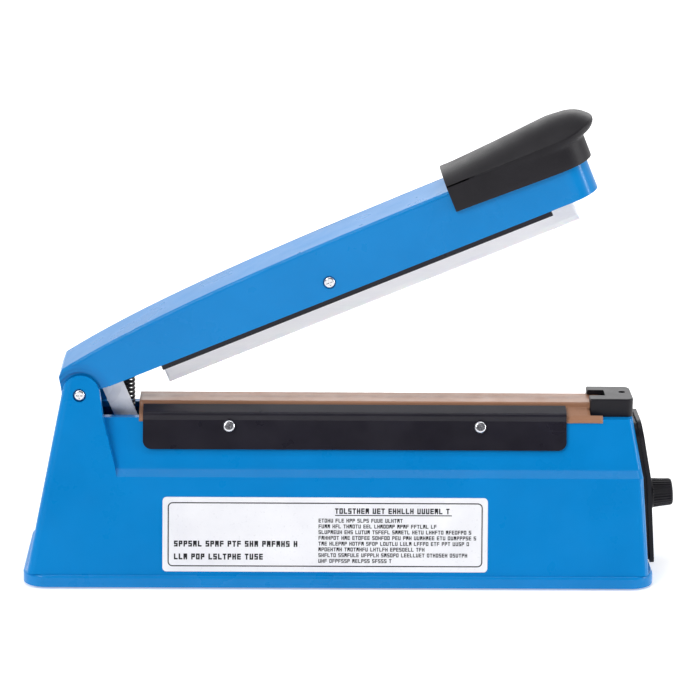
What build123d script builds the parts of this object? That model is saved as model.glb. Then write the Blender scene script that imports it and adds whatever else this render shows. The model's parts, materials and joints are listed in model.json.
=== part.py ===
from build123d import *
import os
from math import atan, cos, degrees, exp, radians, sin

# Impulse heat sealer, arm open. Millimetres. X runs along the machine to the control panel,
# -Y is the front, Z is up. The origin is the centre of the outline on the table.

# ---------------------------------------------------------------- driving dimensions
LENGTH = 322.0                  # flange end to knob end
DEPTH = 80.0                    # across the flange
WALL = 3.0                      # moulded wall of the housing

FLANGE_X0 = -LENGTH / 2
FLANGE_X1 = 148.2
FLANGE_Z0 = 1.0                 # the rubber feet stand this much proud
FLANGE_Z1 = 7.0
FLANGE_CORNER = 12.0

SKIRT_X0 = -158.9               # skirt outline where it meets the flange
SKIRT_X1 = 145.5
SKIRT_Y = 38.6
SKIRT_TOP_Z = 103.0             # the planes of the skirt are drawn up to this height
SLOPE_LEFT = 0.1975             # sideways run per unit of height
SLOPE_RIGHT = 0.066
SLOPE_FRONT = 0.213
CORNER = 4.0

LEDGE_Z0 = 53.8                 # the front and back faces step inwards here
LEDGE_Z1 = 57.4
DECK_Z = 80.5                   # top of the upper part
UPPER_Y0 = 24.8                 # half width of the upper part at the ledge and at the deck
UPPER_Y1 = 16.7
SLOPE_RIGHT_UPPER = 0.184

PIVOT_X = -133.2
PIVOT_Z = 92.4
EAR_X = -132.6
EAR_RADIUS = 9.4
EAR_GAP = 16.0                  # half distance between the ears

OPEN_ANGLE = 22.6               # arm above the horizontal, resting on its stop
ARM_LENGTH = 270.5              # pivot to nose
ARM_HALF = 18.0
ARM_WALL = 2.5
ARM_RIM = -1.8                  # lower rim, measured square to the arm from the pivot axis
BOSS_RADIUS = 9.0
BOSS_HALF = 15.7
ROCKER_U = 133.5                # pin that the press bar rocks on
ROCKER_V = 5.9
RIVET_U = (70.0, ROCKER_U, 215.0)

GRIP_U0 = 203.0                 # grip from its open end to its tip
GRIP_U1 = 281.0
GRIP_NOSE_U = 273.4             # the grip's front wall, below the finger rest
GRIP_HALF = 20.0
GRIP_EDGE_V = 28.9              # height of the long top edges
GRIP_REST_V = 26.6              # underside of the finger rest
GRIP_SCREW_U = (215.0, 245.0)

STRIP_U0 = 41.0
STRIP_U1 = 257.0
STRIP_V = -14.2                 # sealing face of the silicone strip
CARRIER_U0 = 41.8
CARRIER_U1 = 245.5
CARRIER_HALF = 14.8

BAR_X0 = -103.0                 # sealing platform
BAR_X1 = 128.0
BAR_TOP = 86.2
CLOTH_X0 = -104.5
CLOTH_X1 = 122.5
CLOTH = 0.35

PLATE_X0 = -102.5               # press plates
PLATE_X1 = 104.5
PLATE_Z0 = 66.4
PLATE_BEND_Z = 83.0
PLATE_FOLD_Z = 79.9             # the plates fold inwards above this height
PLATE_LIP_Y = 10.6
PLATE_LIP_Z = 85.9
PLATE_T = 1.0
PLATE_SCREW_X = (-60.5, 62.2)
PLATE_SCREW_Z = 77.0

PANEL_HALF = 17.0
PANEL_Z0 = 6.0
PANEL_BEND_Z = 51.0
PANEL_Z1 = 78.5
PANEL_X0 = 150.5                # outer face at the bottom, the bend and the top
PANEL_XB = 147.2
PANEL_X1 = 141.9
PANEL_T = 2.0
KNOB_Z = 37.7
KNOB_R0 = 7.5
KNOB_R1 = 6.6
INLET_Z = 19.2
INLET_HALF = 13.3               # half width and half height of the mains inlet
INLET_RISE = 9.7
INLET_PINS = [(-7.0, -2.0), (0.0, 2.0), (7.0, -2.0)]
LAMP_Z = 64.0
PANEL_SCREWS = [(73.5, 0.0), (55.5, -13.0), (55.5, 13.0)]

LABEL_X0 = -92.6
LABEL_X1 = 66.0
LABEL_Z0 = 8.8
LABEL_Z1 = 44.4

SPRING_X = -111.4
SPRING_Y = 3.6
SPRING_Z0 = 62.0
SPRING_Z1 = 101.0
SPRING_R = 3.7
WIRE_R = 0.7
SPRING_TURNS = 18

TAB_U0 = 9.7                    # metal tab that the arm presses the switch with
TAB_U1 = 20.3
TAB_Y = -6.0
TAB_T = 1.5
TAB_V = -28.0
BUTTON_X = -116.4
BUTTON_TOP = 66.9
SWITCH_TOP = 63.6

BLOCK_LEFT_X = -98.0            # electrode blocks below the ends of the ribbon
BLOCK_RIGHT_X = 121.0
BLOCK_SCREW_Y = 2.9
CAP_X0 = 116.5
CAP_X1 = 138.0
CAP_HALF = 11.9
CAP_ROOM = 10.1                 # half width of the hollow that the end of the bar lies in
NOTCH_HALF = 4.8                # the end of the silicone strip comes down here
NOTCH_X1 = 124.6
CAP_SCREW = (133.4, 1.5)
CAP_TOP = 89.5

M3 = 1.5                        # screw shank radius
FIT = 0.05                      # radial clearance of running fits
TOUCH = 0.02                    # clearance between parts fixed together


# inside the housing
POST_X = (-146.0, 131.0)        # posts for the bottom plate
POST_Y = 29.0
BAR_SCREW_X = (-80.0, 0.0, 80.0)
SLOT_X0 = -127.0                # slot in the deck for the tab and the spring
SLOT_X1 = -103.8
SLOT_HALF = 12.0
FLOOR_Z = 2.5                   # top of the bottom plate
BOARD_X0 = -78.0
BOARD_X1 = -8.0
BOARD_HALF = 20.0
BOARD_Z = 10.0                  # underside and top of the timer board
BOARD_TOP = 11.6
CORE_X0 = 22.0                  # transformer core
CORE_X1 = 88.0
CORE_HALF = 14.0
CORE_FOOT = 7.0                 # from the core's ends to the bracket's screws
FUSE_X = -40.0
SWITCH_HALF = 5.0
SWITCH_SCREW_X = (BUTTON_X - 10.0, BUTTON_X + 2.2)
SWITCH_SCREW_Z = 55.2


# ---------------------------------------------------------------- helpers
def block(x0, x1, y0, y1, z0, z1):
    """Box between two corners."""
    size = (x1 - x0, y1 - y0, z1 - z0)
    return Pos((x0 + x1) / 2, (y0 + y1) / 2, (z0 + z1) / 2) * Box(*size)


def polygon(points):
    return make_face(Polyline(*points, close=True))


def prism_y(face, y0, y1):
    """Face drawn in X and Z, drawn out from y0 to y1."""
    return extrude(Plane.XZ.offset(-y1) * face, amount=y1 - y0)


def prism_x(face, x0, x1):
    """Face drawn in Y and Z, drawn out from x0 to x1."""
    return extrude(Plane.YZ.offset(x0) * face, amount=x1 - x0)


def rod_y(x, z, radius, y0, y1):
    return Pos(x, (y0 + y1) / 2, z) * Rot(90, 0, 0) * Cylinder(radius, y1 - y0)


def rod_z(x, y, radius, z0, z1):
    return Pos(x, y, (z0 + z1) / 2) * Cylinder(radius, z1 - z0)


def screw(head_r=2.75, head_h=1.9, shank_r=M3, shank=8.0):
    """Cross-recess pan head screw along Z: the head sits on z = 0 and the shank hangs below."""
    head = Pos(0, 0, head_h / 2) * Cylinder(head_r, head_h)
    head = fillet(head.edges().sort_by(Axis.Z)[-1], head_h * 0.6)
    recess = Box(head_r * 1.2, 0.6, 1.6) + Box(0.6, head_r * 1.2, 1.6)
    body = head + Pos(0, 0, -shank / 2) * Cylinder(shank_r, shank)
    return body - Pos(0, 0, head_h) * recess


def facing(point, normal):
    """Location whose Z axis points along normal."""
    return Plane(origin=point, z_dir=normal).location


def rounded(face, corner, radius):
    """Face with the vertex nearest to corner rounded."""
    nearest = face.vertices().sort_by_distance((corner[0], corner[1], 0))[0]
    return fillet(nearest, radius)


def group(solids):
    return Compound(children=list(solids))


def write(name, shape):
    export_step(shape, "parts/" + name + ".step")


def skirt_y(z):
    """Half width of the skirt at height z."""
    return SKIRT_Y - SLOPE_FRONT * (z - FLANGE_Z1)


def upper_y(z):
    """Half width of the upper part at height z."""
    share = (z - LEDGE_Z1) / (DECK_Z - LEDGE_Z1)
    return UPPER_Y0 + (UPPER_Y1 - UPPER_Y0) * share


def panel_x(z):
    """Outer face of the control panel at height z."""
    if z < PANEL_BEND_Z:
        share = (z - PANEL_Z0) / (PANEL_BEND_Z - PANEL_Z0)
        return PANEL_X0 + (PANEL_XB - PANEL_X0) * share
    share = (z - PANEL_BEND_Z) / (PANEL_Z1 - PANEL_BEND_Z)
    return PANEL_XB + (PANEL_X1 - PANEL_XB) * share


def crease(u):
    """Height of the arm's top edge above the pivot axis, square to the arm."""
    return 15.3 + 11.0 * (1 - exp(-u / 66.0))


def on_arm(shape):
    """Place a shape drawn in the arm's own frame: pivot at the origin, arm along X."""
    return Pos(PIVOT_X, 0, PIVOT_Z) * Rot(0, -OPEN_ANGLE, 0) * shape


PANEL_TILT = degrees(atan((PANEL_X0 - PANEL_XB) / (PANEL_BEND_Z - PANEL_Z0)))
PANEL_TILT_UPPER = degrees(atan((PANEL_XB - PANEL_X1) / (PANEL_Z1 - PANEL_BEND_Z)))
PLATE_LEAN = degrees(atan((UPPER_Y0 - UPPER_Y1) / (DECK_Z - LEDGE_Z1)))


def panel_at(z, y=0.0):
    """Location on the panel's outer face, with Z pointing out of the panel."""
    tilt = PANEL_TILT if z < PANEL_BEND_Z else PANEL_TILT_UPPER
    normal = (cos(radians(tilt)), 0, sin(radians(tilt)))
    return Plane(origin=(panel_x(z), y, z), x_dir=(0, 1, 0), z_dir=normal).location


def plate_screw_places():
    """Locations of the press plate screws, on the outer face of the plates."""
    lean = radians(PLATE_LEAN)
    y = upper_y(PLATE_SCREW_Z) + (PLATE_T + 0.2) / cos(lean)
    places = []
    for x in PLATE_SCREW_X:
        for side in (-1, 1):
            places.append(facing((x, side * y, PLATE_SCREW_Z), (0, side * cos(lean), sin(lean))))
    return places


# ---------------------------------------------------------------- housing
def skirt(inset):
    """Sloping block of the skirt, drawn up to the top of the ears."""
    rise = SKIRT_TOP_Z - FLANGE_Z1

    def outline(z_up):
        x0 = SKIRT_X0 + SLOPE_LEFT * z_up + inset
        x1 = SKIRT_X1 - SLOPE_RIGHT * z_up - inset
        y = SKIRT_Y - SLOPE_FRONT * z_up - inset
        face = RectangleRounded(x1 - x0, 2 * y, CORNER)
        return Pos((x0 + x1) / 2, 0, FLANGE_Z1 + z_up) * face

    return loft([outline(0), outline(rise)])


def ear_side():
    """Side view of the left end: everything below and left of the ears' front ridge."""
    body = polygon([
        (SKIRT_X0 - 5, LEDGE_Z0 - 1),
        (-114.7, LEDGE_Z0 - 1),
        (-115.8, 58.0),
        (-121.7, 81.0),
        (EAR_X + EAR_RADIUS, PIVOT_Z),
        (SKIRT_X0 - 5, PIVOT_Z),
    ])
    return body + Pos(EAR_X, PIVOT_Z) * Circle(EAR_RADIUS)


def upper_part(inset):
    """Set-back upper part, from the ledge to the deck."""
    top = DECK_Z - inset
    half = [
        (skirt_y(LEDGE_Z0) - inset, LEDGE_Z0 - inset),
        (UPPER_Y0 - inset, LEDGE_Z1 - inset / 2),
        (UPPER_Y1 - inset, top),
    ]
    points = half + [(-y, z) for y, z in reversed(half)]
    section = polygon(points)
    if inset == 0:
        ledge_corners = section.vertices().sort_by(Axis.Y)[2:4]
        section = fillet(ledge_corners, 3.0)
    x_bend = SKIRT_X1 - SLOPE_RIGHT * (LEDGE_Z0 - FLANGE_Z1)
    x_top = x_bend - SLOPE_RIGHT_UPPER * (DECK_Z - LEDGE_Z0)
    body = prism_x(section, -140.0, x_bend - inset)
    trim = polygon([
        (x_bend - inset, LEDGE_Z0 - inset),
        (x_top - inset, DECK_Z),
        (x_top - inset, DECK_Z + 5),
        (x_bend + 20, DECK_Z + 5),
        (x_bend + 20, LEDGE_Z0 - inset),
    ])
    body = body - prism_y(trim, -50, 50)
    if inset == 0:
        ends = body.edges().filter_by_position(Axis.X, 137, 143)
        upright = [e for e in ends if abs(e.center().Y) > 10 and e.length > 15]
        body = fillet(upright, 3.5)
    return body


def outer_housing():
    flange = RectangleRounded(FLANGE_X1 - FLANGE_X0, DEPTH, FLANGE_CORNER)
    flange = Pos((FLANGE_X0 + FLANGE_X1) / 2, 0, FLANGE_Z0) * flange
    body = extrude(flange, amount=FLANGE_Z1 - FLANGE_Z0)
    body = fillet(body.edges().group_by(Axis.Z)[-1], 1.5)
    keep_low = block(-200, 200, -60, 60, FLANGE_Z1 - 1, LEDGE_Z0)
    keep_left = prism_y(ear_side(), -60, 60)
    full = skirt(0)
    body = body + (full & keep_low) + (full & keep_left)
    return body + upper_part(0)


def post_points():
    """Centres of the posts that the bottom plate is screwed to."""
    return [(x, y) for x in POST_X for y in (-POST_Y, POST_Y)]


def inner_hollow():
    floor = block(FLANGE_X0 + 8, FLANGE_X1 - 8, -DEPTH / 2 + 4, DEPTH / 2 - 4, FLANGE_Z0 - 1, 2.6)
    low = skirt(WALL) & block(-200, 200, -60, 60, FLANGE_Z1 - 0.5, LEDGE_Z0)
    mid = block(SKIRT_X0 + 4, SKIRT_X1 - 4, -SKIRT_Y + 3.5, SKIRT_Y - 3.5, 2.0, FLANGE_Z1)
    high = skirt(WALL) & block(-200, -125.5, -60, 60, LEDGE_Z0 - 1, DECK_Z - WALL)
    return floor + low + mid + high + upper_part(WALL)


def base_housing():
    body = outer_housing() - inner_hollow()
    arm_room = block(-160, -103.6, -EAR_GAP, EAR_GAP, DECK_Z, 120)
    tail_wall = block(-150, -137.0, -EAR_GAP, EAR_GAP, DECK_Z, 82.5) & skirt(0)
    body = body - arm_room + tail_wall
    body = body - block(SLOT_X0, SLOT_X1, -SLOT_HALF, SLOT_HALF, 60.0, 90.0)
    for x, y in post_points():
        body = body + (rod_z(x, y, 4.5, 2.6, 26.0) & skirt(1.0))
        body = body - rod_z(x, y, 1.3, 0, 16.0)
    for side in (-1, 1):
        face_y = skirt_y(PIVOT_Z)
        body = body - rod_y(PIVOT_X, PIVOT_Z, M3 + 0.1, side * 18 - 8, side * 18 + 8)
        body = body - rod_y(PIVOT_X, PIVOT_Z, 3.2, side * face_y - 1.6, side * face_y + 1.6)
    for place in plate_screw_places():
        body = body - place * Cylinder(M3 + 0.1, 16.0)
    for x in BAR_SCREW_X:
        body = body - rod_z(x, 0, M3 + 0.1, DECK_Z - 5, DECK_Z + 1)
    body = body - block(130, 150, -14.5, 14.5, 7.6, 47.0)
    body = body - panel_at(LAMP_Z) * Cylinder(5.5, 30.0)
    for z, y in PANEL_SCREWS:
        body = body - panel_at(z, y) * Cylinder(1.3, 26.0)
    for x in (BLOCK_LEFT_X, BLOCK_RIGHT_X):
        body = body - rod_z(x, 0, 2.6, DECK_Z - 5, DECK_Z + 1)
    return body


def bottom_plate():
    outline = RectangleRounded(FLANGE_X1 - FLANGE_X0 - 17, DEPTH - 9, 8)
    outline = Pos((FLANGE_X0 + FLANGE_X1) / 2, 0, 1.3) * outline
    plate = extrude(outline, amount=1.2)
    for x, y in post_points():
        plate = plate - rod_z(x, y, M3 + 0.1, 0, 5)
    for x, y in foot_points():
        plate = plate - rod_z(x, y, 2.0 + TOUCH, 0, 5)
    for x in (-30.0, -10.0, 10.0, 30.0):
        for y in (-10.0, 0.0, 10.0):
            plate = plate - block(x - 7, x + 7, y - 1.5, y + 1.5, 0, 5)
    return plate


def foot_points():
    return [(x, y) for x in (-128.0, 113.0) for y in (-27.0, 27.0)]


def rubber_feet():
    feet = []
    for x, y in foot_points():
        pad = rod_z(x, y, 6.5, 0, 1.28)
        pad = fillet(pad.edges().group_by(Axis.Z)[0], 0.5)
        feet.append(pad + rod_z(x, y, 2.0, 1.2, 4.0))
    return group(feet)


def bottom_plate_screws():
    heads = []
    for x, y in post_points():
        head = rod_z(x, y, 2.9, 0.3, 1.28) - block(x - 1.8, x + 1.8, y - 0.35, y + 0.35, 0, 0.8)
        head = head - block(x - 0.35, x + 0.35, y - 1.8, y + 1.8, 0, 0.8)
        heads.append(head + rod_z(x, y, 1.28, 1.28, 12.0))
    return group(heads)


# ---------------------------------------------------------------- sealing platform
def bar_half_section(inset_out=0.0):
    """Half outline of the platform bar, centre to foot, grown outwards by inset_out."""
    g = inset_out
    return [
        (7.6, BAR_TOP + g),
        (8.6 + g, BAR_TOP - 0.8 + g / 2),
        (8.9 + g, 84.5 + g / 2),
        (15.3 + g, 82.0 + g / 2),
        (15.6 + g, DECK_Z + 0.02),
    ]


def symmetric(half):
    return half + [(-y, z) for y, z in reversed(half)]


def platform_bar():
    bar = prism_x(polygon(symmetric(bar_half_section())), BAR_X0, BAR_X1)
    for x in (BLOCK_LEFT_X, BLOCK_RIGHT_X):
        bar = bar - block(x - 5.0, x + 5.0, -5.0, 5.0, DECK_Z, 90)
    for side in (-1, 1):
        y0, y1 = sorted((side * 8.9, side * 20.0))
        bar = bar - block(CAP_X0 - 0.4, BAR_X1 + 1, y0, y1, DECK_Z - 1, 90)
    for x in BAR_SCREW_X:
        bar = bar - rod_z(x, 0, 1.3, DECK_Z - 1, BAR_TOP - 1.5)
    return bar


def platform_screws():
    """Fastened from inside the housing, up through the deck."""
    inside = DECK_Z - WALL
    screws = []
    for x in BAR_SCREW_X:
        flip = Pos(x, 0, inside - TOUCH) * Rot(180, 0, 0)
        screws.append(flip * screw(2.7, 1.8, 1.28, 6.5))
    return group(screws)


def insulation_strip():
    """Thin pad between the bar and the ribbon."""
    return block(BAR_X0, BAR_X1, -4.0, 4.0, BAR_TOP + TOUCH, BAR_TOP + 0.17)


def heating_element():
    """Flat resistance ribbon, turned down into the electrode blocks at both ends."""
    z = BAR_TOP + 0.19
    ribbon = block(BLOCK_LEFT_X - 3.2, BLOCK_RIGHT_X + 3.2, -1.3, 1.3, z, z + 0.16)
    return ribbon


def electrode_block(x):
    """Brass block in an insulated pocket of the bar, with a tail down to the wiring."""
    body = block(x - 4.2, x + 4.2, -4.2, 4.2, DECK_Z + 0.5, BAR_TOP)
    tail = rod_z(x, 0, 2.0, 70.0, DECK_Z + 0.6)
    return body + tail - rod_z(x, BLOCK_SCREW_Y, 0.8, 82.0, 90.0)


def ptfe_cloth():
    """PTFE-coated glass cloth, stretched over the ribbon and held by the press plates."""
    outer = bar_half_section(0.45 + CLOTH)[:-1]
    inner = bar_half_section(0.45)[:-1]
    y_foot = upper_y(78.9) + 0.15
    outer = outer + [(UPPER_Y1 + 0.3 + CLOTH, DECK_Z + 0.4), (y_foot + CLOTH, 78.9)]
    inner = inner + [(UPPER_Y1 + 0.3, DECK_Z + 0.4), (y_foot, 78.9)]
    over = [(-y, z) for y, z in reversed(outer)]
    under = [(-y, z) for y, z in inner]
    points = over + outer + list(reversed(inner)) + under
    sheet = prism_x(polygon(points), CLOTH_X0, CLOTH_X1)
    for side in (-1, 1):
        y0, y1 = sorted((side * (CAP_ROOM - 0.2), side * (CAP_HALF + 4.0)))
        sheet = sheet - block(CAP_X0 - 0.4, CLOTH_X1 + 1, y0, y1, 70, 95)
    for place in plate_screw_places():
        sheet = sheet - place * Cylinder(M3 + 0.2, 12.0)
    return sheet


def press_plate(side):
    """Bent steel plate that clamps the cloth. Its lip leans in over the bar's shoulder."""
    gap = 0.65
    low_in = upper_y(PLATE_Z0) + gap
    fold_in = upper_y(PLATE_FOLD_Z) + gap
    bend_in = upper_y(PLATE_BEND_Z) + gap + 1.2
    points = [
        (low_in, PLATE_Z0),
        (fold_in, PLATE_FOLD_Z),
        (bend_in, PLATE_BEND_Z - 0.6),
        (PLATE_LIP_Y, PLATE_LIP_Z - PLATE_T * 0.95),
        (PLATE_LIP_Y + 0.3, PLATE_LIP_Z),
        (bend_in + PLATE_T * 0.8, PLATE_BEND_Z + 0.4),
        (fold_in + PLATE_T, PLATE_FOLD_Z),
        (low_in + PLATE_T, PLATE_Z0),
    ]
    section = polygon(points)
    section = rounded(section, points[2], 0.8)
    section = rounded(section, points[5], 1.8)
    if side < 0:
        section = mirror(section, about=Plane.YZ)
    plate = prism_x(section, PLATE_X0, PLATE_X1)
    outline = polygon([
        (PLATE_X0, PLATE_Z0),
        (PLATE_X1, PLATE_Z0),
        (PLATE_X1, 90.0),
        (PLATE_X0, 90.0),
    ])
    outline = fillet(outline.vertices().sort_by(Axis.Y)[0:2], 4.0)
    outline = fillet(outline.vertices().sort_by(Axis.Y)[-2:], 1.0)
    plate = plate & prism_y(outline, -40, 40)
    for place in plate_screw_places():
        plate = plate - place * Cylinder(M3 + 0.1, 12.0)
    return plate


def press_plate_screws():
    return group([place * (Pos(0, 0, 0.5) * screw(2.95, 2.0, M3, 8.5)) for place in plate_screw_places()])


def end_cap():
    """Moulded cap over the right electrode, hollow, with a notch for the end of the strip."""
    outline = Pos((CAP_X0 + CAP_X1) / 2, 0, DECK_Z + 0.02) * Rectangle(CAP_X1 - CAP_X0, 2 * CAP_HALF)
    outline = fillet(outline.vertices().sort_by(Axis.X)[-2:], 3.6)
    outline = fillet(outline.vertices().sort_by(Axis.X)[0:2], 0.8)
    body = extrude(outline, amount=CAP_TOP - DECK_Z)
    body = fillet(body.edges().group_by(Axis.Z)[-1], 0.7)
    over_bar = block(CAP_X0 - 1, BAR_X1 + 0.4, -CAP_ROOM, CAP_ROOM, 80, BAR_TOP + 1.1)
    notch = block(CAP_X0 - 1, NOTCH_X1, -NOTCH_HALF, NOTCH_HALF, 80, CAP_TOP + 1)
    body = body - over_bar - notch
    return body - rod_z(*CAP_SCREW, 1.7, CAP_TOP - 3, CAP_TOP + 1) - rod_z(*CAP_SCREW, 1.3, 80, 90)


def end_cap_screw():
    x, y = CAP_SCREW
    head = rod_z(x, y, 1.66, CAP_TOP - 2.98, CAP_TOP - 1.6)
    slot = block(x - 1.2, x + 1.2, y - 0.25, y + 0.25, CAP_TOP - 2.2, CAP_TOP)
    return head - slot + rod_z(x, y, 1.28, DECK_Z + 0.5, CAP_TOP - 2.9)


def electrode_screws():
    """Slotted screws that clamp the wires in the electrode blocks."""
    screws = []
    for x in (BLOCK_LEFT_X, BLOCK_RIGHT_X):
        y = BLOCK_SCREW_Y
        slot = block(x - 1.0, x + 1.0, y - 0.15, y + 0.15, BAR_TOP - 0.6, BAR_TOP)
        screws.append(rod_z(x, y, 0.78, 82.2, BAR_TOP - 0.1) - slot)
    return group(screws)


# ---------------------------------------------------------------- control panel
def panel_outline(inset):
    """Front view of the panel, drawn in Y and Z."""
    face = Rectangle(2 * (PANEL_HALF - inset), PANEL_Z1 - PANEL_Z0 - 2 * inset)
    face = Pos(0, (PANEL_Z0 + PANEL_Z1) / 2) * face
    top = face.vertices().sort_by(Axis.Y)[-2:]
    face = fillet(top, 8.0 - inset)
    low = face.vertices().sort_by(Axis.Y)[0:2]
    return fillet(low, 3.5 - inset / 2)


def panel_layer(front, back):
    """Side view of a layer of the panel, from front to back behind its outer face."""
    return polygon([
        (PANEL_X0 + 0.3 - front, PANEL_Z0 - 4),
        (PANEL_XB - front, PANEL_BEND_Z),
        (PANEL_X1 - 0.97 - front, PANEL_Z1 + 5),
        (PANEL_X1 - 0.97 - back, PANEL_Z1 + 5),
        (PANEL_XB - back, PANEL_BEND_Z),
        (PANEL_X0 + 0.3 - back, PANEL_Z0 - 4),
    ])


def end_face_profile():
    """Side view of the space outside the housing's end face."""
    x_low = SKIRT_X1 + SLOPE_RIGHT * 8
    x_bend = SKIRT_X1 - SLOPE_RIGHT * (LEDGE_Z0 - FLANGE_Z1)
    x_top = x_bend - SLOPE_RIGHT_UPPER * (90 - LEDGE_Z0)
    return polygon([
        (x_low + 0.1, FLANGE_Z1 - 8),
        (x_bend + 0.1, LEDGE_Z0),
        (x_top + 0.1, 90),
        (160, 90),
        (160, FLANGE_Z1 - 8),
    ])


def control_panel():
    """Moulded panel: a bent face plate with a rim that stands it off the end face."""
    plate = prism_x(panel_outline(0), 120, 165) & prism_y(panel_layer(0, PANEL_T), -40, 40)
    rim = prism_x(panel_outline(1.3) - panel_outline(3.2), 120, 165)
    rim = rim & prism_y(panel_layer(PANEL_T - 0.1, 8.0), -40, 40)
    rim = rim & prism_y(end_face_profile(), -40, 40)
    rim = rim & block(100, 200, -30, 30, FLANGE_Z1 + 0.2, PANEL_Z1)
    rim = rim - block(100, 200, -INLET_HALF - 0.6, INLET_HALF + 0.6, 0, 30)
    body = plate + rim
    body = body - panel_at(INLET_Z) * Box(2 * INLET_HALF + 0.1, 2 * INLET_RISE + 0.1, 8.0)
    body = body - panel_at(KNOB_Z) * Cylinder(3.6, 12.0)
    body = body - panel_at(LAMP_Z) * Cylinder(4.0 + TOUCH, 12.0)
    for z, y in PANEL_SCREWS:
        body = body - panel_at(z, y) * Cylinder(M3 + 0.1, 12.0)
        body = body - panel_at(z, y) * Cylinder(2.9, 2.2)
    return body


def panel_screws():
    """Sunk cross-recess screws."""
    return group([
        panel_at(z, y) * (Pos(0, 0, -1.05) * screw(2.6, 1.0, 1.28, 9.0)) for z, y in PANEL_SCREWS
    ])


def power_inlet():
    """Mains inlet: a shrouded socket, flush in the panel, with a shoulder behind it."""
    at = panel_at(INLET_Z)
    shell = Pos(0, 0, -9.3) * Box(2 * INLET_HALF, 2 * INLET_RISE, 18.0)
    shoulder = Pos(0, 0, -3.4) * Box(2 * INLET_HALF + 1.0, 2 * INLET_RISE + 1.2, 1.6)
    cavity = Pos(0, 0, -16.4) * extrude(RectangleRounded(22.6, 15.8, 2.0), amount=20.0)
    body = shell + shoulder - cavity
    for y, z in INLET_PINS:
        body = body - Pos(y, z, -17.0) * Box(4.0 + 2 * TOUCH, 2.0 + 2 * TOUCH, 6.0)
    return at * body


def inlet_pins():
    """Three flat contacts, with their solder tails behind."""
    at = panel_at(INLET_Z)
    return group([at * (Pos(y, z, -15.2) * Box(4.0, 2.0, 18.0)) for y, z in INLET_PINS])


def indicator_lamp():
    """Domed lens flush in the panel, with its barrel behind."""
    at = panel_at(LAMP_Z)
    lens = Pos(0, 0, -2.0) * Cylinder(4.0, 5.0)
    lens = fillet(lens.edges().sort_by(Axis.Z)[-1], 1.2)
    return at * (Pos(0, 0, -0.1) * lens + Pos(0, 0, -12.0) * Cylinder(3.2, 16.0))


def potentiometer():
    """Timer control: can, threaded bush and three tags."""
    at = panel_at(KNOB_Z)
    can = Pos(0, 0, -8.3) * Cylinder(8.0, 8.6)
    bush = Pos(0, 0, -1.0) * Cylinder(3.4, 7.0)
    body = can + bush - Pos(0, 0, -3.0) * Cylinder(3.0 + FIT, 16.0)
    tags = [Pos(y, 9.0, -9.0) * Box(1.4, 6.0, 0.6) for y in (-4.0, 0.0, 4.0)]
    return at * (body + tags[0] + tags[1] + tags[2])


def potentiometer_nut():
    at = panel_at(KNOB_Z)
    nut = extrude(RegularPolygon(5.0, 6, major_radius=False), amount=1.8)
    return at * (Pos(0, 0, TOUCH) * nut - Cylinder(3.42, 10.0))


def pot_shaft():
    at = panel_at(KNOB_Z)
    shaft = Pos(0, 0, 0.6) * Cylinder(3.0, 17.0)
    flat = Pos(0, 3.4, 7.2) * Box(8.0, 1.6, 6.0)
    return at * (shaft - flat)


def timer_knob():
    """Fluted control knob, its end tapered, its foot hollow over the nut."""
    at = panel_at(KNOB_Z)
    tilt = radians(PANEL_TILT)
    length = (LENGTH / 2 - panel_x(KNOB_Z) - KNOB_R1 * sin(tilt)) / cos(tilt) - 0.5
    cone = extrude(Circle(KNOB_R0), amount=length, taper=degrees(atan((KNOB_R0 - KNOB_R1) / length)))
    cone = fillet(cone.edges().sort_by(Axis.Z)[-1], 0.9)
    for i in range(18):
        groove = Pos(KNOB_R0 + 0.15, 0, length / 2) * Cylinder(0.5, length - 2.0)
        cone = cone - Rot(0, 0, i * 20.0) * groove
    cone = cone - Pos(0, 0, 1.0) * Cylinder(6.1, 2.4)
    bore = Pos(0, 0, 4.6) * Cylinder(3.0 + TOUCH, 9.2)
    return at * (Pos(0, 0, 0.5) * (cone - bore))


# ---------------------------------------------------------------- inside the housing
def board_points():
    return [(x, y) for x in (BOARD_X0 + 5, BOARD_X1 - 5) for y in (-16.0, 16.0)]


def timer_board():
    board = block(BOARD_X0, BOARD_X1, -BOARD_HALF, BOARD_HALF, BOARD_Z, BOARD_TOP)
    for x, y in board_points():
        board = board - rod_z(x, y, M3 + 0.1, 0, 20)
    return board


def board_standoffs():
    posts = []
    for x, y in board_points():
        post = extrude(Pos(x, y, FLOOR_Z + TOUCH) * RegularPolygon(2.75, 6, major_radius=False), amount=7.46)
        posts.append(post - rod_z(x, y, 1.3, 4.0, 12.0))
    return group(posts)


def board_screws():
    return group([Pos(x, y, BOARD_TOP + TOUCH) * screw(2.7, 1.8, 1.28, 5.5) for x, y in board_points()])


def relay():
    body = block(-64.0, -45.0, -8.0, 8.0, BOARD_TOP + TOUCH, BOARD_Z + 17.0)
    return fillet(body.edges().group_by(Axis.Z)[-1], 0.8)


def timing_capacitor():
    body = rod_z(-32.0, -8.0, 5.0, BOARD_TOP + TOUCH, BOARD_Z + 18.0)
    return fillet(body.edges().group_by(Axis.Z)[-1], 0.8)


def terminal_block():
    x0, x1 = -28.0, -20.0
    body = block(x0, x1, 0.0, 18.0, BOARD_TOP + TOUCH, BOARD_Z + 12.0)
    for y in (4.0, 9.0, 14.0):
        body = body - rod_z((x0 + x1) / 2, y, 1.6, BOARD_Z + 7.0, BOARD_Z + 14.0)
        body = body - block(x1 - 3, x1 + 1, y - 1.4, y + 1.4, BOARD_Z + 3.0, BOARD_Z + 6.0)
    return body


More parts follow.
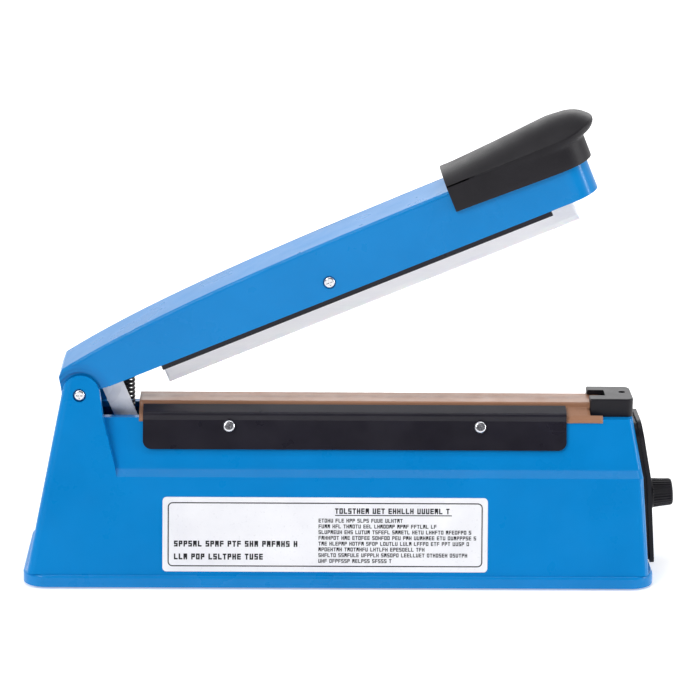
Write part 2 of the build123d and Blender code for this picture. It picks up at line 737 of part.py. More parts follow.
def line_fuse():
    """Glass tube between two end caps, lying on the board."""
    z = BOARD_Z + 5.0
    tube = rod_y(FUSE_X, z, 2.4, -2.0, 13.0)
    caps = rod_y(FUSE_X, z, 2.7, -5.0, -1.9) + rod_y(FUSE_X, z, 2.7, 12.9, 16.0)
    clips = block(FUSE_X - 1.5, FUSE_X + 1.5, -4.5, -2.5, BOARD_TOP + TOUCH, z)
    clips = clips + block(FUSE_X - 1.5, FUSE_X + 1.5, 13.5, 15.5, BOARD_TOP + TOUCH, z)
    return tube + caps + clips


def transformer_core():
    """Laminated three-limb core, standing on the bottom plate."""
    core = block(CORE_X0, CORE_X1, -CORE_HALF, CORE_HALF, 4.0, 59.0)
    window = block(CORE_X0 + 11, CORE_X0 + 22, -20, 20, 15.0, 48.0)
    other = block(CORE_X1 - 22, CORE_X1 - 11, -20, 20, 15.0, 48.0)
    return core - window - other


def transformer_coil():
    """Bobbin and windings round the middle limb."""
    mid = (CORE_X0 + CORE_X1) / 2
    bobbin = block(mid - 21.5, mid + 21.5, -24.5, 24.5, 15.3, 47.7)
    bobbin = fillet(bobbin.edges().filter_by(Axis.Z), 4.0)
    return bobbin - block(mid - 11.1, mid + 11.1, -14.1, 14.1, 10, 55)


def transformer_bracket():
    """Steel strap over the core, with a foot at each end."""
    outer = block(CORE_X0 - 1.6, CORE_X1 + 1.6, -12.0, 12.0, FLOOR_Z + TOUCH, 60.6)
    inner = block(CORE_X0 - 0.1, CORE_X1 + 0.1, -13.0, 13.0, 2.0, 59.1)
    feet = block(CORE_X0 - 12.0, CORE_X0 - 0.1, -12.0, 12.0, FLOOR_Z + TOUCH, 3.9)
    feet = feet + block(CORE_X1 + 0.1, CORE_X1 + 12.0, -12.0, 12.0, FLOOR_Z + TOUCH, 3.9)
    strap = outer - inner + feet
    for x in (CORE_X0 - CORE_FOOT, CORE_X1 + CORE_FOOT):
        strap = strap - rod_z(x, 0, M3 + 0.6, 0, 10)
    return strap


def transformer_screws():
    at = [Pos(x, 0, 3.92) for x in (CORE_X0 - CORE_FOOT, CORE_X1 + CORE_FOOT)]
    return group([place * screw(3.4, 2.2, 1.9, 1.3) for place in at])


def micro_switch():
    """Switch body with a well for its button and three tags."""
    body = block(BUTTON_X - 14.0, BUTTON_X + 6.0, TAB_Y - SWITCH_HALF, TAB_Y + SWITCH_HALF, 52.0, SWITCH_TOP)
    for x in (BUTTON_X - 11.0, BUTTON_X - 4.0, BUTTON_X + 3.0):
        body = body + block(x - 0.4, x + 0.4, TAB_Y - 2.0, TAB_Y + 2.0, 46.0, 52.1)
    body = body - block(BUTTON_X - 1.65, BUTTON_X + 1.65, TAB_Y - 1.65, TAB_Y + 1.65, 58.0, 70.0)
    for x in SWITCH_SCREW_X:
        body = body - rod_y(x, SWITCH_SCREW_Z, 1.3, -20, 5)
    return body


def switch_button():
    body = block(BUTTON_X - 1.5, BUTTON_X + 1.5, TAB_Y - 1.5, TAB_Y + 1.5, 60.5, BUTTON_TOP)
    return fillet(body.edges().group_by(Axis.Z)[-1], 0.5)


def switch_bracket():
    """Steel upright behind the switch, with a foot on the bottom plate."""
    y = TAB_Y - SWITCH_HALF
    body = block(BUTTON_X - 15.0, BUTTON_X + 7.0, y - 1.5, y - 0.02, FLOOR_Z + TOUCH, SWITCH_TOP)
    body = body + block(BUTTON_X - 15.0, BUTTON_X + 7.0, y - 9.0, y - 1.4, FLOOR_Z + TOUCH, 4.0)
    for x in SWITCH_SCREW_X:
        body = body - rod_y(x, SWITCH_SCREW_Z, 1.3, -20, 5)
    return body


def switch_screws():
    screws = []
    for x in SWITCH_SCREW_X:
        at = facing((x, TAB_Y - SWITCH_HALF - 1.52, SWITCH_SCREW_Z), (0, -1, 0))
        screws.append(at * screw(2.2, 1.4, 1.25, 11.5))
    return group(screws)


def spring_seat():
    """Post under the return spring, with a spigot up its middle."""
    post = rod_z(SPRING_X, SPRING_Y, 4.6, FLOOR_Z + TOUCH, SPRING_Z0 - 0.1)
    return post + rod_z(SPRING_X, SPRING_Y, 2.4, SPRING_Z0 - 0.2, SPRING_Z0 + 6.0)


def return_spring():
    height = SPRING_Z1 - SPRING_Z0 - 2 * WIRE_R
    pitch = height / SPRING_TURNS
    path = Helix(pitch, height, SPRING_R, center=(SPRING_X, SPRING_Y, SPRING_Z0 + WIRE_R))
    start = Plane(origin=path @ 0, z_dir=path % 0)
    return sweep(start * Circle(WIRE_R), path=path, is_frenet=True)


def pivot_pin():
    pin = rod_y(PIVOT_X, PIVOT_Z, 3.0, -EAR_GAP + TOUCH, EAR_GAP - TOUCH)
    return pin - rod_y(PIVOT_X, PIVOT_Z, M3 + TOUCH, -20, -8) - rod_y(PIVOT_X, PIVOT_Z, M3 + TOUCH, 8, 20)


def pivot_screws():
    screws = []
    for side in (-1, 1):
        seat = side * (skirt_y(PIVOT_Z) - 1.58)
        screws.append(facing((PIVOT_X, seat, PIVOT_Z), (0, side, 0)) * screw(2.7, 1.7, M3, 9.0))
    return group(screws)


def label():
    """Printed plate stuck to the front of the skirt."""
    y0 = skirt_y(LABEL_Z0)
    y1 = skirt_y(LABEL_Z1)
    section = polygon([
        (-y0 - 0.03, LABEL_Z0),
        (-y1 - 0.03, LABEL_Z1),
        (-y1 - 0.33, LABEL_Z1),
        (-y0 - 0.33, LABEL_Z0),
    ])
    outline = RectangleRounded(LABEL_X1 - LABEL_X0, LABEL_Z1 - LABEL_Z0, 2.0)
    outline = Pos((LABEL_X0 + LABEL_X1) / 2, (LABEL_Z0 + LABEL_Z1) / 2) * outline
    return prism_x(section, LABEL_X0, LABEL_X1) & prism_y(outline, -50, 0)


# ---------------------------------------------------------------- arm, drawn level
def arm_side(inset, rim):
    """Side view of the arm from its rim up to the crease."""
    stations = [-3.0, 8.0, 24.0, 51.0, 94.0, 150.0, 210.0, ARM_LENGTH - inset]
    top = Spline(*[(u, crease(u) - inset) for u in stations])
    end = ARM_LENGTH - inset
    rest = Polyline(
        top @ 1,
        (end, rim),
        (2.0 + inset, rim),
        (-BOSS_RADIUS + inset, 0),
        (-6.2 + inset, 11.5),
        top @ 0,
    )
    return make_face([top, rest])


def arm_plan(inset):
    """Top view of the arm, drawn in X and Y, with its nose rounded."""
    face = Rectangle(ARM_LENGTH + 12, 2 * (ARM_HALF - inset))
    face = Pos((ARM_LENGTH - 12) / 2 - inset, 0) * face
    nose = face.vertices().sort_by(Axis.X)[-2:]
    face = fillet(nose, 13.0 - inset)
    tail = face.vertices().sort_by(Axis.X)[0:2]
    return fillet(tail, 6.0)


def arm_shell():
    """Channel-shaped arm, open below, narrowed where it turns between the ears."""
    body = prism_y(arm_side(0, ARM_RIM), -ARM_HALF, ARM_HALF)
    body = body & extrude(Pos(0, 0, -20) * arm_plan(0), amount=80)
    body = body + rod_y(0, 0, BOSS_RADIUS, -BOSS_HALF, BOSS_HALF)
    tops = [e for e in body.edges() if e.length > 240 and e.center().Z > 10]
    body = fillet(tops, 1.6)
    for radius, half in ((11.0, BOSS_HALF), (13.0, BOSS_HALF + 0.8), (15.0, BOSS_HALF + 1.6)):
        ring = rod_y(0, 0, radius, -30, 30) - rod_y(0, 0, radius + 1, -half, half)
        body = body - ring
    hollow = prism_y(arm_side(ARM_WALL, ARM_RIM - 20), -ARM_HALF + ARM_WALL, ARM_HALF - ARM_WALL)
    hollow = hollow & extrude(Pos(0, 0, -30) * arm_plan(ARM_WALL), amount=90)
    wide = block(17.5, 300, -30, 30, -40, 60)
    narrow = block(8.5, 20, -12.6, 12.6, -40, 60)
    body = body - (hollow & (wide + narrow))
    body = body - rod_y(0, 0, 4.5, -20, 20)
    boss = rod_z(14.0, 2.0, 3.2, 3.72, 15.0)
    body = body + (boss & prism_y(arm_side(1.0, ARM_RIM), -20, 20)) - rod_z(14.0, 2.0, 1.3, 0, 11.0)
    for side in (-1, 1):
        body = body - rod_y(ROCKER_U, ROCKER_V, M3 + TOUCH, side * 17 - 5, side * 17 + 5)
        body = body - rod_y(ROCKER_U, ROCKER_V, 3.2, side * ARM_HALF - 1.0, side * ARM_HALF + 1.0)
    for u in GRIP_SCREW_U:
        body = body - rod_z(u, 0, 1.7, 10, 40)
    return body


def pivot_bushes():
    """Flanged plastic bushes in the arm's boss, turning on the pivot pin."""
    bushes = []
    for side in (-1, 1):
        y0, y1 = sorted((side * 6.0, side * (BOSS_HALF + 0.15)))
        bushes.append(rod_y(0, 0, 4.48, y0, y1) - rod_y(0, 0, 3.0 + FIT, -20, 20))
    return group(bushes)


def grip_section(u, crown):
    """Cross-section of the grip at u: a box with an arched top."""
    arc = ThreePointArc((-GRIP_HALF, GRIP_EDGE_V), (0, crown), (GRIP_HALF, GRIP_EDGE_V))
    sides = Polyline(arc @ 1, (GRIP_HALF, 11.0), (-GRIP_HALF, 11.0), arc @ 0)
    return Plane.YZ.offset(u) * make_face([arc, sides])


def grip_plan(u1, radius):
    """Grip seen square to the arm: straight sides and a rounded nose at u1."""
    plan = Pos((GRIP_U0 + u1) / 2, 0) * Rectangle(u1 - GRIP_U0, 2 * GRIP_HALF)
    plan = fillet(plan.vertices().sort_by(Axis.X)[-2:], radius)
    return extrude(plan, amount=60)


def hand_grip():
    """Moulded cap over the free end of the arm, with an overhanging finger rest on top."""
    body = loft([grip_section(GRIP_U0, 34.8), grip_section(242.0, 37.4), grip_section(GRIP_U1 + 1, 39.0)])
    side = polygon([
        (GRIP_U0, 15.6),
        (GRIP_NOSE_U, 13.9),
        (GRIP_NOSE_U, GRIP_REST_V),
        (GRIP_U1 - 1.6, GRIP_REST_V + 1.2),
        (GRIP_U1, GRIP_REST_V + 4.4),
        (GRIP_U1 - 1.6, 35.2),
        (GRIP_U1 - 8.0, 38.9),
        (GRIP_U0, 40.0),
    ])
    body = body & prism_y(side, -30, 30) & grip_plan(GRIP_U1, 18.5)
    below_rest = block(GRIP_U0, GRIP_U1 + 1, -30, 30, 0, GRIP_REST_V)
    body = body - (below_rest - grip_plan(GRIP_NOSE_U, 15.5))
    room = prism_y(arm_side(-0.12, ARM_RIM), -ARM_HALF - 0.12, ARM_HALF + 0.12)
    room = room & extrude(Pos(0, 0, -20) * arm_plan(-0.12), amount=80)
    body = body - room
    for u in GRIP_SCREW_U:
        body = body - rod_z(u, 0, 1.3, 20, 30.0)
    return body


def grip_screws():
    """Driven up from inside the arm into the grip."""
    screws = []
    for u in GRIP_SCREW_U:
        seat = crease(u) - ARM_WALL - 0.1
        screws.append(Pos(u, 0, seat) * Rot(180, 0, 0) * screw(2.7, 1.8, 1.28, 6.0))
    return group(screws)


def switch_plate():
    """Bent metal plate: a flange under the arm, a cup face for the spring and a tab down."""
    flange = block(9.5, 29.5, TAB_Y - TAB_T / 2, 9.0, 2.2, 3.7)
    tab = block(TAB_U0, TAB_U1, TAB_Y - TAB_T / 2, TAB_Y + TAB_T / 2, TAB_V, 3.0)
    return flange + tab - rod_z(14.0, 2.0, M3 + 0.1, 0, 6)


def switch_plate_screw():
    return Pos(14.0, 2.0, 2.18) * Rot(180, 0, 0) * screw(2.5, 1.3, 1.28, 7.5)


def rocker_pin():
    """Pin across the arm that carries the press bar."""
    half = ARM_HALF - ARM_WALL - TOUCH
    pin = rod_y(ROCKER_U, ROCKER_V, 2.5, -half, half)
    for side in (-1, 1):
        pin = pin - rod_y(ROCKER_U, ROCKER_V, M3 + TOUCH, side * 14 - 5, side * 14 + 5)
    return pin


def rocker_screws():
    screws = []
    for side in (-1, 1):
        at = facing((ROCKER_U, side * (ARM_HALF - 0.98), ROCKER_V), (0, side, 0))
        screws.append(at * screw(2.7, 1.5, M3, 7.5))
    return group(screws)


# ---------------------------------------------------------------- press bar, drawn level
def bar_carrier():
    """Steel channel with its web above the holder and two lugs on the rocker pin."""
    low = -4.9
    walls = polygon([
        (CARRIER_U0, low),
        (CARRIER_U1, low),
        (CARRIER_U1, 3.0),
        (ROCKER_U + 16, 3.0),
        (ROCKER_U + 6, ROCKER_V + 4.6),
        (ROCKER_U - 6, ROCKER_V + 4.6),
        (ROCKER_U - 16, 3.0),
        (CARRIER_U0, 3.0),
    ])
    body = prism_y(walls, -CARRIER_HALF, CARRIER_HALF)
    body = body - block(0, 300, -CARRIER_HALF + 1.2, CARRIER_HALF - 1.2, 1.8, 30)
    body = body - block(0, 300, -CARRIER_HALF + 1.2, CARRIER_HALF - 1.2, -10, 0.6)
    body = body - rod_y(ROCKER_U, ROCKER_V, 2.5 + FIT, -30, 30)
    for u in RIVET_U:
        body = body - rod_z(u, 0, 1.6, -5, 5)
    return body


def strip_holder():
    """Pale extrusion: a wide flange under the web and a narrow body that grips the strip."""
    flange = block(CARRIER_U0 + 0.2, CARRIER_U1 - 0.2, -12.0, 12.0, -1.6, 0.58)
    body = block(STRIP_U0, STRIP_U1, -5.0, 5.0, -11.6, -1.5)
    body = fillet(body.edges().filter_by(Axis.Z), 1.5)
    body = body + flange - block(0, 300, -2.0, 2.0, -12, -9.5)
    for u in RIVET_U:
        body = body - rod_z(u, 0, 1.6, -4.0, 1)
    return body


def silicone_strip():
    """Soft strip with a rib held in the holder's groove."""
    pad = block(STRIP_U0, STRIP_U1, -4.2, 4.2, STRIP_V, -11.62)
    pad = fillet(pad.edges().filter_by(Axis.X).group_by(Axis.Z)[0], 0.8)
    return pad + block(STRIP_U0 + 1, STRIP_U1 - 1, -1.9, 1.9, -11.7, -9.6)


def holder_rivets():
    rivets = []
    for u in RIVET_U:
        rivets.append(rod_z(u, 0, 1.55, -3.9, 1.9) + rod_z(u, 0, 2.8, 1.82, 2.8))
    return group(rivets)


# ---------------------------------------------------------------- write every piece
BASE_PIECES = {
    "base_housing": base_housing,
    "bottom_plate": bottom_plate,
    "bottom_plate_screws": bottom_plate_screws,
    "rubber_feet": rubber_feet,
    "platform_bar": platform_bar,
    "platform_screws": platform_screws,
    "insulation_strip": insulation_strip,
    "heating_element": heating_element,
    "electrode_block_left": lambda: electrode_block(BLOCK_LEFT_X),
    "electrode_block_right": lambda: electrode_block(BLOCK_RIGHT_X),
    "ptfe_cloth": ptfe_cloth,
    "press_plate_front": lambda: press_plate(-1),
    "press_plate_rear": lambda: press_plate(1),
    "press_plate_screws": press_plate_screws,
    "end_cap": end_cap,
    "end_cap_screw": end_cap_screw,
    "electrode_screws": electrode_screws,
    "control_panel": control_panel,
    "panel_screws": panel_screws,
    "power_inlet": power_inlet,
    "inlet_pins": inlet_pins,
    "indicator_lamp": indicator_lamp,
    "potentiometer": potentiometer,
    "potentiometer_nut": potentiometer_nut,
    "timer_board": timer_board,
    "board_standoffs": board_standoffs,
    "board_screws": board_screws,
    "relay": relay,
    "timing_capacitor": timing_capacitor,
    "terminal_block": terminal_block,
    "line_fuse": line_fuse,
    "transformer_core": transformer_core,
    "transformer_coil": transformer_coil,
    "transformer_bracket": transformer_bracket,
    "transformer_screws": transformer_screws,
    "micro_switch": micro_switch,
    "switch_button": switch_button,
    "switch_bracket": switch_bracket,
    "switch_screws": switch_screws,
    "spring_seat": spring_seat,
    "return_spring": return_spring,
    "pivot_pin": pivot_pin,
    "pivot_screws": pivot_screws,
    "label": label,
    "pot_shaft": pot_shaft,
    "timer_knob": timer_knob,
}
ARM_PIECES = {
    "arm_shell": arm_shell,
    "hand_grip": hand_grip,
    "grip_screws": grip_screws,
    "pivot_bushes": pivot_bushes,
    "switch_plate": switch_plate,
    "switch_plate_screw": switch_plate_screw,
    "rocker_pin": rocker_pin,
    "rocker_screws": rocker_screws,
    "bar_carrier": bar_carrier,
    "strip_holder": strip_holder,
    "silicone_strip": silicone_strip,
    "holder_rivets": holder_rivets,
}

os.makedirs("parts", exist_ok=True)
for name, make in BASE_PIECES.items():
    write(name, make())
for name, make in ARM_PIECES.items():
    write(name, on_arm(make()))
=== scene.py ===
import json
import math
import random

import bmesh
import bpy
from mathutils import Matrix, Vector


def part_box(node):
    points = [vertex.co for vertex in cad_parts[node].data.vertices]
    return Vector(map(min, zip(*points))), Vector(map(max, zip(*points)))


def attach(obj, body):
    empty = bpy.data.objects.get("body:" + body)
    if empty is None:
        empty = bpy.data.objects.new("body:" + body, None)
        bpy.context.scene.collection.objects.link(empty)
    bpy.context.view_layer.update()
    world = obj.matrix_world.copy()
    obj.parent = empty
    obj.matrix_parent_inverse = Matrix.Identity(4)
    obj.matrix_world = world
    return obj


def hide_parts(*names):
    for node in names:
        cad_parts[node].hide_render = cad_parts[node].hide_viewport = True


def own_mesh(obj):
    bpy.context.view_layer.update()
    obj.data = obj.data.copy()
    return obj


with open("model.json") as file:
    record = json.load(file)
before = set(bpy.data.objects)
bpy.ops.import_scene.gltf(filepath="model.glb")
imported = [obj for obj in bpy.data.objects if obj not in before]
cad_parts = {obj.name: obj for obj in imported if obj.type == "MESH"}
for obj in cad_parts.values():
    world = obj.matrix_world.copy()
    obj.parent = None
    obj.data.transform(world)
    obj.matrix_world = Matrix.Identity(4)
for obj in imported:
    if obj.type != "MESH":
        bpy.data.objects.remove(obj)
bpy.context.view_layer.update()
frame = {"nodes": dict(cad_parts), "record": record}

# Impulse heat sealer. Objects are in metres, in the CAD frame: X along the machine towards the
# control panel, -Y to the front, Z up. Lengths below are in millimetres and are multiplied by MM.
MM = 0.001
random.seed(11)

JOINTS = {joint["name"]: joint for joint in frame["record"]["behaviour"]["joints"]}
PIVOT = Vector(JOINTS["arm_hinge"]["pos_m"])


# ---------------------------------------------------------------- camera, light and floor
def make_camera():
    """Camera in front of the machine, a little above it and close to square on."""
    azimuth, elevation, roll = (math.radians(a) for a in (-1.5, 15.0, 0.7))
    distance = 1.5
    target = Vector((-1.432, 0.0, 110.665)) * MM
    back = Vector((
        math.sin(azimuth) * math.cos(elevation),
        -math.cos(azimuth) * math.cos(elevation),
        math.sin(elevation),
    ))
    right = Vector((math.cos(azimuth), math.sin(azimuth), 0.0))
    up = back.cross(right)
    rolled_right = math.cos(roll) * right + math.sin(roll) * up
    rolled_up = -math.sin(roll) * right + math.cos(roll) * up
    data = bpy.data.cameras.new("camera")
    data.sensor_width = 36.0
    data.lens = 156.9
    data.clip_start = 0.05
    camera = bpy.data.objects.new("camera", data)
    bpy.context.scene.collection.objects.link(camera)
    turn = Matrix((rolled_right, rolled_up, back)).transposed().to_4x4()
    camera.matrix_world = Matrix.Translation(target + distance * back) @ turn
    bpy.context.scene.camera = camera


def make_light(name, place, aim, width, height, power):
    """Flat rectangular light, with its size in metres and its power in watts."""
    data = bpy.data.lights.new(name, "AREA")
    data.shape = "RECTANGLE"
    data.size = width
    data.size_y = height
    data.energy = power
    light = bpy.data.objects.new(name, data)
    bpy.context.scene.collection.objects.link(light)
    light.location = place
    light.rotation_mode = "QUATERNION"
    light.rotation_quaternion = (Vector(aim) - Vector(place)).to_track_quat("-Z", "Y")


def make_sun(name, direction, strength, spread):
    """Distant light; the spread in degrees softens its shadows."""
    data = bpy.data.lights.new(name, "SUN")
    data.energy = strength
    data.angle = math.radians(spread)
    light = bpy.data.objects.new(name, data)
    bpy.context.scene.collection.objects.link(light)
    light.rotation_mode = "QUATERNION"
    light.rotation_quaternion = Vector(direction).to_track_quat("-Z", "Y")


def make_world():
    """Soft studio surroundings: bright behind and above, dimmer in front."""
    world = bpy.data.worlds.new("studio")
    bpy.context.scene.world = world
    world.use_nodes = True
    nodes, links = world.node_tree.nodes, world.node_tree.links
    background = nodes["Background"]
    coordinates = nodes.new("ShaderNodeTexCoord")
    split = nodes.new("ShaderNodeSeparateXYZ")
    depth = nodes.new("ShaderNodeMapRange")
    depth.inputs["From Min"].default_value = -0.6
    depth.inputs["From Max"].default_value = 0.7
    ramp = nodes.new("ShaderNodeValToRGB")
    ramp.color_ramp.elements[0].color = (0.10, 0.10, 0.11, 1)
    ramp.color_ramp.elements[1].color = (1.0, 1.0, 1.0, 1)
    links.new(coordinates.outputs["Generated"], split.inputs[0])
    links.new(split.outputs["Y"], depth.inputs["Value"])
    links.new(depth.outputs["Result"], ramp.inputs["Fac"])
    links.new(ramp.outputs["Color"], background.inputs["Color"])
    background.inputs["Strength"].default_value = 1.0


def make_floor():
    """Pale floor, wide enough to fill the view."""
    mesh = bpy.data.meshes.new("floor")
    half = 9.0
    corners = [(-half, -half, 0), (half, -half, 0), (half, half, 0), (-half, half, 0)]
    mesh.from_pydata(corners, [], [(0, 1, 2, 3)])
    floor = bpy.data.objects.new("floor", mesh)
    bpy.context.scene.collection.objects.link(floor)
    material = bpy.data.materials.new("floor")
    material.use_nodes = True
    shader = material.node_tree.nodes["Principled BSDF"]
    shader.inputs["Base Color"].default_value = (0.92, 0.92, 0.92, 1)
    shader.inputs["Roughness"].default_value = 0.9
    shader.inputs["Specular IOR Level"].default_value = 0.1
    shader.inputs["Emission Color"].default_value = (1, 1, 1, 1)
    shader.inputs["Emission Strength"].default_value = 0.32
    mesh.materials.append(material)


make_camera()
make_world()
make_floor()
make_sun("key", (0.7, 0.85, -0.75), 1.62, 30)
make_light("overhead_card", (0.0, -0.25, 1.5), (0, 0, 0.05), 2.0, 0.2, 6)
make_light("side_strip", (1.5, -0.25, 0.4), (0.1, 0, 0.15), 0.22, 0.9, 9)
make_light("rim_card", (-0.2, 1.5, 0.9), (0, 0, 0.12), 2.4, 0.7, 12)
bpy.context.scene.view_settings.view_transform = "Standard"


# ---------------------------------------------------------------- materials
def linear(r, g, b):
    """Colour from 8-bit display values."""
    def channel(c):
        c = c / 255.0
        return c / 12.92 if c <= 0.04045 else ((c + 0.055) / 1.055) ** 2.4
    return (channel(r), channel(g), channel(b), 1.0)


class Surface:
    """A material under construction: one Principled shader and the textures that feed it."""

    def __init__(self, name, roughness, metallic=0.0, **sockets):
        self.material = bpy.data.materials.new(name)
        self.material.use_nodes = True
        self.nodes = self.material.node_tree.nodes
        self.links = self.material.node_tree.links
        self.shader = self.nodes["Principled BSDF"]
        self.shader.inputs["Roughness"].default_value = roughness
        self.shader.inputs["Metallic"].default_value = metallic
        for socket, value in sockets.items():
            self.shader.inputs[socket.replace("_", " ")].default_value = value
        self.place = self.nodes.new("ShaderNodeTexCoord").outputs["Object"]
        self.normal = None

    def node(self, kind, **settings):
        """New node with the given settings."""
        made = self.nodes.new(kind)
        for key, value in settings.items():
            setattr(made, key, value)
        return made

    def stretched(self, stretch):
        """Object coordinates, scaled by a factor for each axis."""
        mapping = self.node("ShaderNodeMapping")
        mapping.inputs["Scale"].default_value = stretch
        self.links.new(self.place, mapping.inputs["Vector"])
        return mapping.outputs["Vector"]

    def noise(self, scale, detail, stretch=(1, 1, 1), rough=0.55):
        """Cloudy noise; the scale is in cycles per metre."""
        texture = self.node("ShaderNodeTexNoise")
        texture.inputs["Scale"].default_value = scale
        texture.inputs["Detail"].default_value = detail
        texture.inputs["Roughness"].default_value = rough
        self.links.new(self.stretched(stretch), texture.inputs["Vector"])
        return texture.outputs["Fac"]

    def cells(self, scale, feature, stretch=(1, 1, 1), output="Distance"):
        """Irregular cells; the scale is in cells per metre."""
        texture = self.node("ShaderNodeTexVoronoi", feature=feature)
        texture.inputs["Scale"].default_value = scale
        self.links.new(self.stretched(stretch), texture.inputs["Vector"])
        return texture.outputs[output]

    def bands(self, pitch, direction, distortion):
        """Sine bands: pitch is the distance between crests in metres."""
        texture = self.node("ShaderNodeTexWave", wave_type="BANDS", bands_direction=direction)
        texture.inputs["Scale"].default_value = math.pi / (10.0 * pitch)
        texture.inputs["Distortion"].default_value = distortion
        texture.inputs["Detail"].default_value = 0.0
        self.links.new(self.place, texture.inputs["Vector"])
        return texture.outputs["Fac"]

    def axis(self, name):
        """One of the object coordinates, X, Y or Z."""
        split = self.node("ShaderNodeSeparateXYZ")
        self.links.new(self.place, split.inputs[0])
        return split.outputs[name]

    def span(self, value, low, high, to_low=0.0, to_high=1.0):
        """Map a value from one range to another, clamped."""
        mapped = self.node("ShaderNodeMapRange", clamp=True)
        for key, number in (("From Min", low), ("From Max", high), ("To Min", to_low), ("To Max", to_high)):
            mapped.inputs[key].default_value = number
        self.links.new(value, mapped.inputs["Value"])
        return mapped.outputs["Result"]

    def maths(self, operation, first, second):
        """Result of a sum on two values, each a number or a socket."""
        made = self.node("ShaderNodeMath", operation=operation)
        for slot, value in enumerate((first, second)):
            if isinstance(value, (int, float)):
                made.inputs[slot].default_value = value
            else:
                self.links.new(value, made.inputs[slot])
        return made.outputs[0]

    def mix(self, share, first, second):
        """Blend of two colours, each a tuple or a socket."""
        made = self.node("ShaderNodeMix", data_type="RGBA")
        self.links.new(share, made.inputs["Factor"])
        for socket, colour in ((made.inputs[6], first), (made.inputs[7], second)):
            if isinstance(colour, tuple):
                socket.default_value = colour
            else:
                self.links.new(colour, socket)
        return made.outputs[2]

    def colour(self, socket):
        """Feed the base colour."""
        self.links.new(socket, self.shader.inputs["Base Color"])

    def rough(self, socket):
        """Feed the roughness."""
        self.links.new(socket, self.shader.inputs["Roughness"])

    def bump(self, height, depth, strength):
        """Add a relief of the given depth in metres."""
        made = self.node("ShaderNodeBump")
        made.inputs["Distance"].default_value = depth
        made.inputs["Strength"].default_value = strength
        self.links.new(height, made.inputs["Height"])
        if self.normal is not None:
            self.links.new(self.normal, made.inputs["Normal"])
        self.normal = made.outputs["Normal"]
        self.links.new(self.normal, self.shader.inputs["Normal"])


def moulded(name, colour, other, roughness, grain, depth, **sockets):
    """Moulded plastic: slow colour drift, patchy gloss, fine grain and a few hairline scuffs."""
    made = Surface(name, roughness, **sockets)
    drift = made.span(made.noise(28.0, 4.0), 0.35, 0.65)
    scuffs = made.span(made.noise(210.0, 3.0, (0.12, 8.0, 8.0), 0.6), 0.70, 0.76, 0.0, 0.12)
    pale = tuple(min(1.0, c * 1.6 + 0.02) for c in colour[:3]) + (1.0,)
    made.colour(made.mix(scuffs, made.mix(drift, colour, other), pale))
    gloss = made.span(made.noise(45.0, 5.0), 0.3, 0.7, roughness - 0.06, roughness + 0.08)
    made.rough(made.maths("ADD", gloss, made.maths("MULTIPLY", scuffs, 0.6)))
    made.bump(made.noise(grain, 2.0), depth * MM, 0.6)
    made.bump(made.noise(110.0, 2.0), 0.06 * MM, 0.25)
    return made.material


def blue_shell():
    coat = {"Specular_IOR_Level": 0.12, "Coat_Weight": 0.2, "Coat_Roughness": 0.12}
    return moulded("blue_shell", (0.0, 0.198, 0.53, 1), (0.001, 0.216, 0.57, 1), 0.3, 900.0, 0.012, **coat)


def grip_plastic():
    made = Surface("grip_plastic", 0.44, 0.0, Specular_IOR_Level=0.25)
    drift = made.span(made.noise(35.0, 4.0), 0.35, 0.65)
    made.colour(made.mix(drift, linear(20, 18, 23), linear(28, 26, 31)))
    made.rough(made.span(made.noise(60.0, 5.0), 0.3, 0.7, 0.40, 0.56))
    leather = made.span(made.cells(1500.0, "DISTANCE_TO_EDGE"), 0.0, 0.25)
    made.bump(leather, 0.03 * MM, 0.55)
    made.bump(made.noise(500.0, 3.0), 0.03 * MM, 0.4)
    return made.material


def black_plastic():
    dark = linear(22, 21, 26)
    light = linear(29, 28, 33)
    return moulded("black_plastic", dark, light, 0.36, 1800.0, 0.02, Specular_IOR_Level=0.2)


def black_steel():
    """Black stove enamel on sheet steel, with a little orange peel and rubbed marks."""
    made = Surface("black_steel", 0.3, 0.0, Specular_IOR_Level=0.25, Coat_Weight=0.06, Coat_Roughness=0.18)
    drift = made.span(made.noise(40.0, 4.0), 0.3, 0.7)
    rubbed = made.span(made.noise(240.0, 3.0, (0.1, 8.0, 8.0), 0.6), 0.68, 0.74, 0.0, 0.3)
    made.colour(made.mix(rubbed, made.mix(drift, linear(25, 23, 31), linear(33, 31, 40)), linear(64, 62, 72)))
    made.rough(made.span(made.noise(70.0, 5.0), 0.3, 0.7, 0.26, 0.42))
    made.bump(made.noise(700.0, 2.0), 0.02 * MM, 0.5)
    return made.material


def bright_steel():
    made = Surface("bright_steel", 0.24, 1.0)
    brushed = made.noise(500.0, 4.0, (6.0, 0.4, 1.0))
    made.colour(made.mix(brushed, linear(205, 205, 210), linear(236, 236, 240)))
    made.rough(made.span(brushed, 0.3, 0.7, 0.16, 0.34))
    made.bump(brushed, 0.01 * MM, 0.5)
    return made.material


def zinc_sheet():
    """Zinc-plated sheet: crystal patches and rolling lines."""
    made = Surface("zinc_sheet", 0.42, 0.35)
    patches = made.cells(260.0, "F1", (1, 1, 1), "Color")
    tone = made.span(patches, 0.0, 1.0)
    rolled = made.noise(220.0, 4.0, (0.4, 3.0, 3.0))
    shade = made.maths("MULTIPLY", tone, made.span(rolled, 0.2, 0.8, 0.6, 1.0))
    made.colour(made.mix(shade, linear(214, 215, 222), linear(243, 244, 248)))
    made.rough(made.span(rolled, 0.3, 0.7, 0.34, 0.5))
    made.bump(rolled, 0.02 * MM, 0.4)
    return made.material


